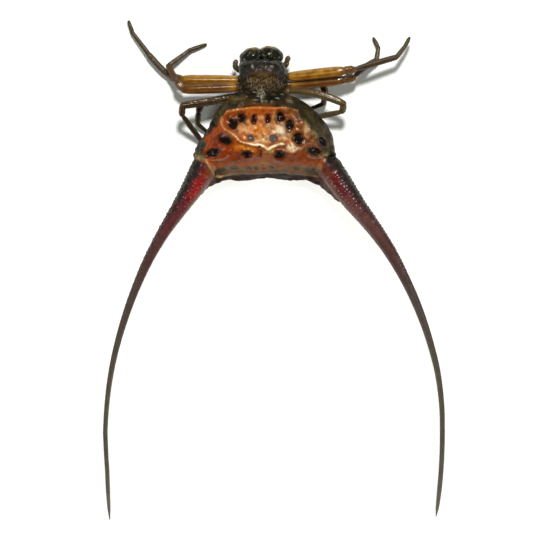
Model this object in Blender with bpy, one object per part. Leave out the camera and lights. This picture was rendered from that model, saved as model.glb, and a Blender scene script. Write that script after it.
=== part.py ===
"""A long-horned spiny orb weaver: a dried female at life size, lying belly down on a flat surface.

The sizes below are millimetres, and MM turns them into metres. The head points to +Y, the animal's
right is +X, and the surface that it lies on is z = 0. The leg tips, the spinnerets and the outer
lengths of the two long horns rest on that surface.
"""

import math

import bmesh
import bpy
import numpy as np
from mathutils import Vector

MM = 0.001
GAP = 0.2  # between pieces that meet, in millimetres
MIDDLE = (0.0, -0.074, 0.0)  # of the footprint, which becomes the origin

# Abdomen: a tilted cushion, high in front and low behind
ABDOMEN_HUB = (-0.50, 8.60)  # the point in plan that its outline is measured from
CROWN_Z = 3.42
ABDOMEN_OUTLINE = (
    (-0.45, 5.90), (2.40, 5.90), (3.20, 6.00), (3.85, 6.45), (4.08, 7.20), (3.98, 7.90),
    (3.82, 8.60), (3.50, 9.25), (2.90, 10.04), (1.95, 10.82), (0.95, 11.32), (-0.55, 11.58),
    (-1.80, 11.52), (-2.73, 11.20), (-3.40, 10.68), (-3.92, 9.92), (-4.30, 9.09), (-4.72, 8.42),
    (-5.05, 7.80), (-5.15, 7.25), (-4.80, 6.50), (-4.10, 6.00), (-3.30, 5.90),
)
# By bearing from the hub, 0 behind and 1 in front: where the top starts to fall, and how low its rim is
FALL_START = ((0.0, 0.30), (0.35, 0.48), (0.6, 0.55), (1.0, 0.50))
RIM_Z = ((0.0, 0.98), (0.25, 1.25), (0.42, 1.95), (0.6, 2.10), (0.8, 2.45), (1.0, 2.72))
BELLY_Z = ((5.9, 0.60), (7.0, 0.70), (8.6, 1.02), (10.0, 1.50), (10.7, 1.85), (11.5, 2.25))

# Long horns: plan routes as cubic curves, with girth and height along their length
HORN_ROUTE = {
    "l": ((-4.70, 6.37), (-10.03, -1.65), (-11.61, -6.68), (-10.80, -16.30)),
    "r": ((3.80, 6.47), (9.80, -0.48), (11.96, -6.85), (10.61, -16.10)),
}
HORN_RADIUS = {
    "l": ((-0.08, 0.62), (0.0, 0.80), (0.05, 0.70), (0.13, 0.515), (0.20, 0.40), (0.28, 0.33), (0.36, 0.28),
          (0.45, 0.25), (0.87, 0.25), (0.95, 0.16), (1.0, 0.05)),
    "r": ((-0.08, 0.62), (0.0, 0.82), (0.05, 0.76), (0.13, 0.60), (0.20, 0.49), (0.28, 0.40), (0.36, 0.32),
          (0.45, 0.28), (0.54, 0.25), (0.87, 0.25), (0.95, 0.16), (1.0, 0.05)),
}
# How far each horn stands in towards the middle from its route
HORN_INWARD = {
    "l": ((0.0, 0.06), (0.06, 0.12), (0.125, 0.09), (0.20, 0.0), (0.28, -0.035), (0.36, -0.015), (0.48, 0.01),
          (0.60, 0.0), (0.75, 0.01), (0.81, 0.08), (0.88, 0.15), (1.0, 0.13)),
    "r": ((0.0, 0.05), (0.06, 0.16), (0.11, 0.25), (0.17, 0.23), (0.27, 0.14), (0.36, 0.11), (0.46, 0.075),
          (0.54, 0.04), (0.62, -0.01), (0.70, 0.0), (0.78, 0.05), (0.90, 0.075), (1.0, 0.08)),
}
HORN_HEIGHT = (
    (-0.08, 1.55), (0.0, 1.42), (0.13, 1.62), (0.24, 1.48), (0.40, 0.88), (0.54, 0.42), (0.64, 0.20),
)
HORN_SPLIT = 0.035  # share of the horn's length that stays on the abdomen as its root
HORN_GAP = 0.0125  # share of its length left open between the root and the loose horn

# Small spines of the abdomen: foot, tip and foot radius
SMALL_SPINES = (
    ((-4.55, 7.60, 1.75), (-5.00, 7.70, 2.45), 0.30),
    ((3.50, 7.45, 1.75), (4.02, 7.45, 2.45), 0.30),
    ((-2.40, 6.35, 1.00), (-2.50, 5.76, 0.85), 0.26),
    ((1.65, 6.35, 1.00), (1.75, 5.76, 0.85), 0.26),
)
PEDICEL = ((-0.62, 10.05, 1.75), (-0.66, 10.95, 1.22))
PEDICEL_RADIUS = 0.30

# Spinnerets, on their low ring under the belly
SPINNERET_HUB = (-0.50, 7.95)
SPINNERET_RING = 0.30
SPINNERET_TOP = 0.70

# Front body: y, centre x, half width, top z and underside z of each section
PROSOMA = (
    (13.60, -0.84, 0.80, 2.62, 1.85),
    (13.53, -0.83, 1.18, 2.84, 1.50),
    (13.40, -0.82, 1.40, 3.04, 1.20),
    (13.15, -0.80, 1.49, 3.24, 0.98),
    (12.70, -0.72, 1.57, 3.30, 0.80),
    (12.25, -0.66, 1.57, 3.00, 0.75),
    (11.80, -0.64, 1.46, 2.34, 0.75),
    (11.25, -0.66, 1.18, 1.80, 0.80),
    (10.95, -0.68, 0.80, 1.46, 0.90),
    (10.80, -0.68, 0.35, 1.26, 1.02),
)
EYES = (
    (-1.02, 13.40, 3.03, 0.13), (-0.60, 13.40, 3.03, 0.13),
    (-1.06, 13.59, 2.74, 0.12), (-0.58, 13.59, 2.74, 0.12),
    (-2.04, 13.27, 2.64, 0.11), (0.44, 13.30, 2.64, 0.11),
    (-2.12, 13.06, 2.50, 0.11), (0.54, 13.10, 2.50, 0.11),
)

# Fang bases: centre and half sizes, with the fang's route below
CHELICERA = {"l": (-1.63, 13.80, 1.62), "r": (-0.14, 13.89, 1.62)}
CHELICERA_HALF = {"l": (0.58, 0.60, 0.92), "r": (0.70, 0.60, 0.92)}
FANG_ROUTE = ((-0.10, 0.10, -0.65), (0.00, 0.16, -0.98), (0.28, 0.10, -1.10))
FANG_RADII = (0.20, 0.15, 0.06)

# Legs: the joints from the hip to the claw, in plan and height
LEG_JOINTS = {
    "leg_1_l": ((-2.02, 12.38, 0.98), (-2.34, 12.26, 0.96), (-5.85, 12.30, 0.92), (-6.76, 12.48, 0.46),
                (-8.14, 13.95, 0.48), (-9.18, 15.32, 0.28), (-9.45, 16.12, 0.05)),
    "leg_2_l": ((-2.02, 11.90, 1.38), (-2.41, 11.80, 1.62), (-5.85, 11.60, 1.66), (-6.25, 12.05, 1.58),
                (-6.86, 13.20, 0.90), (-5.46, 14.24, 0.34), (-4.42, 14.59, 0.05)),
    "leg_3_l": ((-1.89, 11.34, 1.05), (-2.47, 11.25, 0.90), (-4.68, 10.79, 1.05), (-4.91, 10.27, 0.90),
                (-4.96, 9.43, 0.52), (-4.42, 8.97, 0.30), (-3.90, 8.58, 0.05)),
    "leg_4_l": ((-1.82, 10.73, 1.30), (-2.47, 11.12, 1.70), (-5.95, 10.60, 2.20), (-5.98, 10.01, 1.95),
                (-4.78, 8.39, 0.35), (-3.90, 7.61, 0.25), (-3.38, 7.22, 0.05)),
    "leg_1_r": ((0.60, 12.48, 1.35), (0.95, 12.50, 1.48), (4.45, 12.86, 2.00), (5.16, 12.94, 1.92),
                (7.96, 13.76, 1.48), (8.52, 14.48, 1.22), (8.82, 15.06, 1.05)),
    "leg_2_r": ((0.60, 11.90, 1.22), (1.04, 11.93, 1.28), (4.45, 12.26, 1.50), (5.16, 12.40, 1.28),
                (6.65, 13.55, 0.52), (6.78, 14.40, 0.32), (6.46, 15.00, 0.05)),
    "leg_3_r": ((0.46, 11.34, 0.95), (0.91, 11.51, 0.80), (3.12, 12.09, 0.50), (3.35, 11.44, 0.60),
                (3.19, 10.73, 0.52), (2.58, 10.49, 0.35), (2.08, 10.34, 0.05)),
    "leg_4_r": ((0.46, 10.80, 1.30), (0.92, 11.56, 1.75), (4.54, 10.72, 2.20), (4.42, 10.21, 1.90),
                (2.86, 9.88, 1.00), (2.15, 9.23, 0.45), (1.76, 8.78, 0.05)),
}
# Radius of the hip, thigh, knee, shin, foot and toe of the front two pairs, and of the rear two
LEG_RADII = {
    "front": (0.30, 0.31, 0.27, 0.25, 0.25, 0.25),
    "rear": (0.27, 0.25, 0.25, 0.25, 0.25, 0.24),
}
# Where a segment bows off the straight line between its joints
BOWED = {
    "leg_4_r": {1: (0.05, 0.22, 0.05)},
    "leg_2_r": {3: (-0.05, 0.09, 0.0)},
}
PALP_JOINTS = {
    "palp_l": ((-1.95, 12.88, 1.18), (-2.40, 13.00, 1.36), (-2.54, 13.24, 1.47), (-2.44, 13.50, 1.45)),
    "palp_r": ((0.42, 12.92, 1.00), (0.76, 13.14, 1.28), (0.88, 13.44, 1.42), (0.96, 13.74, 1.50)),
}
PALP_RADII = (0.24, 0.22, 0.20)

# Colour, roughness and metallic value of each piece
FINISHES = {
    "abdomen": ((0.62, 0.17, 0.03), 0.32),
    "spine": ((0.12, 0.02, 0.015), 0.35),
    "prosoma": ((0.02, 0.014, 0.01), 0.35),
    "chelicera": ((0.012, 0.012, 0.014), 0.2),
    "palp": ((0.10, 0.055, 0.02), 0.35),
    "leg": ((0.23, 0.10, 0.025), 0.3),
    "spinnerets": ((0.05, 0.03, 0.02), 0.5),
}


def start_scene():
    """Removes what the scene holds, and makes the collections for the pieces and for their cutters."""
    for obj in list(bpy.data.objects):
        bpy.data.objects.remove(obj)
    collections = []
    for name in ("spiny_orb_weaver", "cutters"):
        collection = bpy.data.collections.new(name)
        bpy.context.scene.collection.children.link(collection)
        collections.append(collection)
    return collections


def smooth(table, place):
    """Reads a table of places and values along a soft curve that never passes its own values."""
    places, values = (np.array(column, float) for column in zip(*table))
    slopes = np.diff(values) / np.diff(places)
    tangents = np.zeros(len(values))
    tangents[0], tangents[-1] = slopes[0], slopes[-1]
    for i in range(1, len(values) - 1):
        before, after = slopes[i - 1], slopes[i]
        if before * after > 0:
            tangents[i] = 2 * before * after / (before + after)
    place = min(max(place, places[0]), places[-1])
    i = min(int(np.searchsorted(places, place, side="right")) - 1, len(slopes) - 1)
    width = places[i + 1] - places[i]
    t = (place - places[i]) / width
    return (
        (1 + 2 * t) * (1 - t) ** 2 * values[i]
        + t * (1 - t) ** 2 * width * tangents[i]
        + t * t * (3 - 2 * t) * values[i + 1]
        + t * t * (t - 1) * width * tangents[i + 1]
    )


def new_object(name, mesh, collection):
    obj = bpy.data.objects.new(name, mesh)
    collection.objects.link(obj)
    return obj


def mesh_object(name, bm, collection):
    """Turns a bmesh in millimetres into an object in metres, resting on z = 0 at its lowest."""
    for vert in bm.verts:
        vert.co.z = max(vert.co.z, 0.0)
        vert.co = (vert.co - Vector(MIDDLE)) * MM
    bmesh.ops.recalc_face_normals(bm, faces=bm.faces)
    mesh = bpy.data.meshes.new(name)
    bm.to_mesh(mesh)
    bm.free()
    return new_object(name, mesh, collection)


def loft(name, rings, collection):
    """A closed skin over rings of points in millimetres, with flat ends."""
    bm = bmesh.new()
    rows = [[bm.verts.new(point) for point in ring] for ring in rings]
    count = len(rows[0])
    for low, high in zip(rows, rows[1:]):
        for i in range(count):
            j = (i + 1) % count
            bm.faces.new((low[i], low[j], high[j], high[i]))
    bm.faces.new(rows[0])
    bm.faces.new(rows[-1])
    return mesh_object(name, bm, collection)


def tube(name, points, radii, collection, sides=8):
    """A round rod through points in millimetres, made as a bevelled curve and then a welded mesh."""
    curve = bpy.data.curves.new(name, "CURVE")
    curve.dimensions = "3D"
    curve.bevel_depth = MM
    curve.bevel_resolution = (sides - 4) // 2
    curve.use_fill_caps = True
    spline = curve.splines.new("POLY")
    spline.points.add(len(points) - 1)
    for knot, point, radius in zip(spline.points, points, radii):
        knot.co = (*(value * MM for value in point), 1.0)
        knot.radius = radius
    guide = new_object(name + "_curve", curve, collection)
    graph = bpy.context.evaluated_depsgraph_get()
    mesh = bpy.data.meshes.new_from_object(guide.evaluated_get(graph))
    bpy.data.objects.remove(guide)
    bm = bmesh.new()
    bm.from_mesh(mesh)
    bpy.data.meshes.remove(mesh)
    bmesh.ops.remove_doubles(bm, verts=bm.verts, dist=1e-7)
    bmesh.ops.scale(bm, vec=(1 / MM,) * 3, verts=bm.verts)
    return mesh_object(name, bm, collection)


def ball(name, centre, half, collection, rings=6, sides=8):
    """An ellipsoid with its centre and half sizes in millimetres."""
    bm = bmesh.new()
    bmesh.ops.create_uvsphere(bm, u_segments=sides, v_segments=rings, radius=1.0)
    bmesh.ops.scale(bm, vec=half, verts=bm.verts)
    bmesh.ops.translate(bm, vec=centre, verts=bm.verts)
    return mesh_object(name, bm, collection)


def keep_largest(obj):
    """Drops every closed surface but the largest from the object's mesh."""
    bm = bmesh.new()
    bm.from_mesh(obj.data)
    bm.verts.ensure_lookup_table()
    unseen = set(bm.verts)
    islands = []
    while unseen:
        island = {unseen.pop()}
        edge = list(island)
        while edge:
            near = {e.other_vert(v) for v in edge for e in v.link_edges}
            edge = [v for v in near if v in unseen]
            unseen.difference_update(edge)
            island.update(edge)
        islands.append(island)

    def spread(island):
        low, high = (Vector(f(v.co[i] for v in island) for i in range(3)) for f in (min, max))
        return (high - low).length

    islands.sort(key=spread)
    bmesh.ops.delete(bm, geom=[v for island in islands[:-1] for v in island], context="VERTS")
    bm.to_mesh(obj.data)
    bm.free()


def boolean(obj, operation, others):
    """Joins the other objects to this one, or cuts them from it, and keeps one closed body."""
    helper = bpy.data.collections.new("helper")
    bpy.context.scene.collection.children.link(helper)
    for other in others:
        helper.objects.link(other)
    modifier = obj.modifiers.new("shape", "BOOLEAN")
    modifier.operation = operation
    modifier.solver = "EXACT"
    modifier.operand_type = "COLLECTION"
    modifier.collection = helper
    graph = bpy.context.evaluated_depsgraph_get()
    made = bpy.data.meshes.new_from_object(obj.evaluated_get(graph))
    obj.modifiers.remove(modifier)
    obj.data = made
    bpy.data.collections.remove(helper)
    if operation == "UNION":
        for other in others:
            bpy.data.objects.remove(other)
    keep_largest(obj)
    return obj


def fuse(name, pieces):
    """Joins overlapping pieces into one named body."""
    first, *others = pieces
    first.name = name
    if others:
        boolean(first, "UNION", others)
    return first


def hide_cutter(cutter):
    cutter.hide_render = True
    cutter.display_type = "WIRE"
    return cutter


def finish(obj, kind):
    """Gives the object its material and smooth shading over its round parts."""
    colour, roughness = FINISHES[kind]
    material = bpy.data.materials.get(kind) or bpy.data.materials.new(kind)
    material.use_nodes = True
    shader = material.node_tree.nodes["Principled BSDF"]
    shader.inputs["Base Color"].default_value = (*colour, 1.0)
    shader.inputs["Roughness"].default_value = roughness
    shader.inputs["Metallic"].default_value = 0.0
    obj.data.materials.clear()
    obj.data.materials.append(material)
    obj.data.shade_smooth()
    obj.data.set_sharp_from_angle(angle=math.radians(50))
    return obj


def closed_outline(points, count):
    """Even bearings around the abdomen's hub, with the outline's distance in each."""
    hub = np.array(ABDOMEN_HUB)
    offsets = np.array(points) - hub
    bearings = np.unwrap(np.arctan2(offsets[:, 1], offsets[:, 0]))
    reach = np.hypot(offsets[:, 0], offsets[:, 1])
    around = np.concatenate([bearings - 2 * math.pi, bearings, bearings + 2 * math.pi])
    table = list(zip(around, np.tile(reach, 3)))
    turns = bearings[0] + np.arange(count) * 2 * math.pi / count
    return [(turn, smooth(table, turn)) for turn in turns]


def abdomen_height(turn, share, x, y, above):
    """Height of the abdomen's upper or lower side at a share of the way from its hub to its rim."""
    forward = 0.5 * (1 + math.sin(turn))
    rim = smooth(RIM_Z, forward)
    start = smooth(FALL_START, forward)
    fall = max(0.0, share - start) / (1 - start)
    top = CROWN_Z - (CROWN_Z - rim) * fall**1.2
    belly = smooth(BELLY_Z, y)
    middle = 0.5 * (rim + min(belly, rim - 0.3))
    side = (1 - share**9) ** 0.5
    if above:
        return middle + (top - middle) * side
    return middle - (middle - belly) * side


def make_abdomen(collection):
    """The cushion, with the horns' roots, the small spines and the waist fused on."""
    hub = np.array(ABDOMEN_HUB)
    shares = [1 - (1 - math.sin(math.radians(a))) ** 1.1 for a in (6, 18, 30, 44, 58, 70, 82)] + [1.0]
    levels = [(share, True) for share in shares] + [(share, False) for share in shares[-2::-1]]
    rings = []
    for share, above in levels:
        ring = []
        for turn, reach in closed_outline(ABDOMEN_OUTLINE, 40):
            x, y = hub + share * reach * np.array([math.cos(turn), math.sin(turn)])
            ring.append((x, y, abdomen_height(turn, share, x, y, above)))
        rings.append(ring)
    pieces = [loft("cushion", rings, collection)]
    for side in HORN_ROUTE:
        points, radii = horn_run(side, -0.08, HORN_SPLIT, 6)
        pieces.append(tube("root", points, radii, collection, sides=12))
    for foot, tip, radius in SMALL_SPINES:
        pieces.append(tube("spine", (foot, tip), (radius, 0.06), collection))
    pieces.append(tube("waist", PEDICEL, (PEDICEL_RADIUS,) * 2, collection))
    return fuse("abdomen", pieces)


def horn_run(side, start, end, count):
    """Points and radii along a stretch of a horn, from one share of its length to another."""
    a, b, c, d = (np.array(control) for control in HORN_ROUTE[side])

    def plan(t):
        if t < 0:
            return a + 3 * t * (b - a)
        return (1 - t) ** 3 * a + 3 * t * (1 - t) ** 2 * b + 3 * t * t * (1 - t) * c + t**3 * d

    steps = np.linspace(0, 1, 400)
    route = np.array([plan(t) for t in steps])
    lengths = np.concatenate([[0], np.cumsum(np.linalg.norm(np.diff(route, axis=0), axis=1))])
    points, radii = [], []
    for share in np.linspace(start, end, count):
        t = np.interp(share, lengths / lengths[-1], steps) if share > 0 else share
        ahead_x, ahead_y = plan(t + 0.001) - plan(t - 0.001)
        inward = np.array((-ahead_y, ahead_x)) / math.hypot(ahead_x, ahead_y) * (1 if side == "l" else -1)
        x, y = plan(t) + inward * smooth(HORN_INWARD[side], share)
        radius = smooth(HORN_RADIUS[side], share)
        points.append((x, y, max(smooth(HORN_HEIGHT, share), radius * 0.8)))
        radii.append(radius)
    return points, radii


def make_horn(side, collection):
    points, radii = horn_run(side, HORN_SPLIT + HORN_GAP, 1.0, 40)
    return fuse("median_spine_" + side, [tube("horn", points, radii, collection, sides=10)])


def prosoma_shape(name, grow, collection):
    """The front body's skin, or the same shape grown on every side."""
    rings = []
    for index, (y, x, half, top, low) in enumerate(PROSOMA):
        if index in (0, len(PROSOMA) - 1):
            y += grow if index == 0 else -grow
        middle, tall = 0.5 * (top + low), 0.5 * (top - low) + grow
        half += grow
        ring = []
        for i in range(20):
            turn = 2 * math.pi * i / 20
            c, s = math.cos(turn), math.sin(turn)
            ring.append((
                x + half * math.copysign(abs(c) ** 0.85, c) * (1.0 if s > 0 else 1 - 0.12 * abs(s)),
                y,
                middle + tall * math.copysign(abs(s) ** 0.85, s),
            ))
        rings.append(ring)
    return loft(name, rings, collection)


def make_prosoma(collection):
    pieces = [prosoma_shape("carapace", 0.0, collection)]
    for x, y, z, radius in EYES:
        pieces.append(ball("eye", (x, y, z), (radius,) * 3, collection))
    return fuse("prosoma", pieces)


def limb(name, joints, radii, collection):
    """A jointed limb: one swelling rod for each segment, rounded past its joints, fused in a row."""
    pieces = []
    joints = [np.array(joint) for joint in joints]
    for index, (start, end) in enumerate(zip(joints, joints[1:])):
        radius = radii[index]
        along = (end - start) / np.linalg.norm(end - start)
        last = index == len(joints) - 2
        bow = np.array(BOWED.get(name, {}).get(index, (0, 0, 0)))
        knots = [
            (start - along * radius * 0.7, 0.45 * radius),
            (start - along * radius * 0.1, 0.88 * radius),
            (start + (end - start) * 0.35 + bow, radius),
        ]
        if last:
            knots.append((start + (end - start) * 0.75, 0.75 * radius))
            knots.append((end, 0.08))
        else:
            knots.append((start + (end - start) * 0.8 + 0.6 * bow, 0.96 * radius))
            knots.append((end + along * radius * 0.1, 0.88 * radius))
            knots.append((end + along * radius * 0.7, 0.45 * radius))
        points, sizes = zip(*knots)
        points = [(x, y, max(z, 0.8 * size)) for (x, y, z), size in zip(points, sizes)]
        pieces.append(tube("segment", points, sizes, collection))
    return fuse(name, pieces)


def make_chelicera(side, collection):
    """One fang base with its fang, hanging before the face."""
    centre = np.array(CHELICERA[side])
    inward = 1.0 if side == "l" else -1.0
    route = [centre + np.array([inward * x, y, z]) for x, y, z in FANG_ROUTE]
    base = ball("base", centre, CHELICERA_HALF[side], collection, rings=9, sides=14)
    fang = tube("fang", route, FANG_RADII, collection, sides=8)
    return fuse("chelicera_" + side, [base, fang])


def make_spinnerets(collection):
    """A ring of short cones round a middle pair, all ending on the floor."""
    x, y = SPINNERET_HUB
    pieces = [tube("ring", ((x, y, SPINNERET_TOP), (x, y, 0.30)), (0.62, 0.50), collection, sides=12)]
    for i in range(6):
        turn = math.radians(30 + 60 * i)
        foot = (x + SPINNERET_RING * math.cos(turn), y + SPINNERET_RING * math.sin(turn))
        pieces.append(tube("cone", ((*foot, 0.50), (*foot, 0.0)), (0.24, 0.13), collection))
    return fuse("spinnerets", pieces)


def main():
    pieces, cutters = start_scene()
    clearance = hide_cutter(prosoma_shape("prosoma_clearance", GAP, cutters))
    finish(make_abdomen(pieces), "abdomen")
    finish(make_prosoma(pieces), "prosoma")
    finish(make_spinnerets(pieces), "spinnerets")
    for side in HORN_ROUTE:
        finish(make_horn(side, pieces), "spine")
        finish(make_chelicera(side, pieces), "chelicera")
    for name, joints in PALP_JOINTS.items():
        finish(limb(name, joints, PALP_RADII, pieces), "palp")
    for name, joints in LEG_JOINTS.items():
        radii = LEG_RADII["front" if name[4] in "12" else "rear"]
        finish(limb(name, joints, radii, pieces), "leg")
    for obj in list(pieces.objects):
        if obj.name.startswith(("leg", "palp", "chelicera", "abdomen")):
            boolean(obj, "DIFFERENCE", [clearance])


main()
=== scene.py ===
"""Looks of a dried long-horned spiny orb weaver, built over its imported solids.

Shapes are built in millimetres in the specimen's own places, with the head towards +Y and the back
up, and are turned into metres about the footprint's middle when they are finished.
"""

import math

import bpy
import numpy as np
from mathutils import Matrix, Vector


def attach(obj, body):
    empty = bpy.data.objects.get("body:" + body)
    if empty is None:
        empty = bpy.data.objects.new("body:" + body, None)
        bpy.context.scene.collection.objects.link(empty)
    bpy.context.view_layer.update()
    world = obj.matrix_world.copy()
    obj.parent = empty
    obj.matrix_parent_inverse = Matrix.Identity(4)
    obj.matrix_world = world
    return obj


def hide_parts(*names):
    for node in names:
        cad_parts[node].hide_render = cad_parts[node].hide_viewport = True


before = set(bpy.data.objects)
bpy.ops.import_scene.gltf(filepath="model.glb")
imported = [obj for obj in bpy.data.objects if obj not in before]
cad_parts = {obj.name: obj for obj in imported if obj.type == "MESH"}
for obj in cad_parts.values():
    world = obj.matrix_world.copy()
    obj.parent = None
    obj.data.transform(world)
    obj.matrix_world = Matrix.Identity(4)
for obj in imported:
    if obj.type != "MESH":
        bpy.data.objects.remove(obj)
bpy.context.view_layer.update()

MM = 0.001
MIDDLE = np.array((0.0, -0.074, 0.0))  # of the footprint, in millimetres
INWARD = {"l": 1.0, "r": -1.0}  # the way along x to the middle, for either side

# Camera: straight above, with the photo's framing
VIEW_WIDTH = 35.75
VIEW_CENTRE = (0.065, -0.39)
VIEW_HEIGHT = 1500.0

# Abdomen: outline in plan, and its fall towards the rim by bearing from behind (0) to in front (1)
HUB = np.array((-0.50, 8.60))
CROWN_Z = 3.42
OUTLINE = (
    (-0.45, 5.90), (2.40, 5.90), (3.20, 6.00), (3.80, 6.45), (4.00, 7.20), (3.93, 7.90),
    (3.82, 8.60), (3.50, 9.25), (2.90, 10.04), (1.95, 10.82), (0.95, 11.32), (-0.55, 11.58),
    (-1.80, 11.52), (-2.73, 11.20), (-3.40, 10.68), (-3.92, 9.92), (-4.30, 9.09), (-4.72, 8.42),
    (-5.10, 7.80), (-5.20, 7.12), (-4.98, 6.55), (-4.10, 6.00), (-3.30, 5.90),
)
FALL_START = ((0.0, 0.30), (0.35, 0.48), (0.6, 0.55), (1.0, 0.50))
RIM_Z = ((0.0, 0.98), (0.25, 1.25), (0.42, 1.95), (0.6, 2.10), (0.8, 2.45), (1.0, 2.72))
BELLY_Z = ((5.9, 0.60), (7.0, 0.70), (8.6, 1.02), (10.0, 1.50), (10.7, 1.85), (11.5, 2.25))
# Webs of skin between the rear wall and the inner side of each horn, with their girths
WEB_ROUTE = {
    "l": ((-2.90, 6.20, 0.92), (-4.31, 5.62, 1.12), (-4.87, 5.10, 1.27), (-5.34, 4.51, 1.42)),
    "r": ((2.00, 6.15, 0.92), (3.14, 5.63, 1.08), (3.72, 5.11, 1.22), (4.31, 4.55, 1.38)),
}
WEB_RADIUS = (0.30, 0.31, 0.30, 0.23)
SMALL_SPINES = (
    ((-4.55, 7.60, 1.75), (-4.80, 7.66, 2.32), 0.30),
    ((3.50, 7.45, 1.75), (3.96, 7.45, 2.45), 0.30),
    ((-2.40, 6.35, 1.00), (-2.50, 5.76, 0.85), 0.26),
    ((1.65, 6.35, 1.00), (1.75, 5.76, 0.85), 0.26),
)
# The waist that joins the abdomen to the front body
PEDICEL = ((-0.62, 10.05, 1.75), (-0.68, 11.10, 1.15))
PEDICEL_RADIUS = 0.30
# How far each mark stands out of the back, or sinks into it where it is below 0
RELIEF = {"ring": 0.15, "crest": 0.10, "bar": 0.03, "field": -0.14, "folds": 0.04, "rim": 0.07}

# Raised lines of the back, in plan: the ring from its right shoulder round by the left to the middle,
# the crest from that shoulder to the right rear, and the foot of the field between their ends
RING = (
    (1.43, 10.19), (1.07, 10.38), (0.65, 10.42), (0.31, 10.39), (-0.26, 10.40), (-0.88, 10.42),
    (-1.50, 10.40), (-2.08, 10.34), (-2.60, 10.27), (-2.96, 10.19), (-3.22, 9.98), (-3.36, 9.69),
    (-3.35, 9.36), (-3.19, 9.10), (-2.89, 8.91), (-2.54, 8.64), (-2.31, 8.38), (-2.11, 8.24),
    (-1.69, 8.14), (-1.30, 8.06), (-0.91, 8.05), (-0.58, 7.90), (-0.39, 7.78), (-0.07, 7.93),
    (0.39, 8.09), (0.68, 8.09),
)
CREST = ((1.43, 10.19), (1.66, 9.78), (1.85, 9.43), (2.21, 9.08), (2.54, 8.71), (2.81, 8.42), (2.96, 8.02))
FIELD_FOOT = ((0.68, 8.09), (1.04, 7.92), (1.50, 7.74), (1.98, 7.88), (2.30, 8.28))
# Pale rim from the left corner's ridge across the rear to the right corner
RIM = (
    (-4.46, 7.12), (-4.38, 6.96), (-4.23, 6.68), (-4.06, 6.38), (-3.93, 6.16), (-3.80, 6.02), (-3.58, 5.97),
    (-3.19, 6.09), (-2.79, 6.18), (-2.21, 6.23), (-1.43, 6.25), (-0.58, 6.27), (0.39, 6.31), (1.04, 6.26),
    (1.69, 6.21), (2.34, 6.11), (2.99, 5.97),
)
FOLDS = (
    ((-4.30, 7.12), (-3.83, 7.06), (-3.31, 7.14), (-2.93, 7.35)),
    ((2.20, 7.32), (2.60, 7.20), (2.99, 7.22), (3.25, 7.41)),
)
# Where the back gives way to the horns' own skin, beyond a line at each rear corner
LEFT_ROOT = (
    (-5.6, 7.10), (-5.15, 7.14), (-4.85, 7.02), (-4.60, 6.90), (-4.42, 6.86), (-4.20, 6.60), (-4.02, 6.32),
    (-3.86, 6.02), (-3.75, 5.6),
)
RIGHT_ROOT = ((4.5, 7.30), (4.00, 7.34), (3.56, 7.22), (3.25, 6.95), (3.12, 6.57), (3.06, 6.05), (3.00, 5.6))
# Where the orange gives way to dark skin: in front by x, and on the right and left by y
FRONT_EDGE = (
    (-3.4, 9.85), (-3.1, 10.06), (-2.8, 10.24), (-2.4, 10.38), (-2.0, 10.46), (-1.0, 10.52), (0.0, 10.52),
    (0.6, 10.46), (1.1, 10.34), (1.5, 10.12), (1.9, 9.8),
)
RIGHT_EDGE = ((6.9, 3.25), (7.4, 2.98), (8.06, 2.72), (8.71, 2.34), (9.43, 1.82), (10.19, 1.44), (10.6, 1.25))
LEFT_EDGE = (
    (6.8, -4.40), (7.1, -4.46), (7.5, -4.52), (7.87, -4.46), (8.45, -4.32), (8.9, -4.02),
    (9.36, -3.62), (10.1, -3.30),
)
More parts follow.
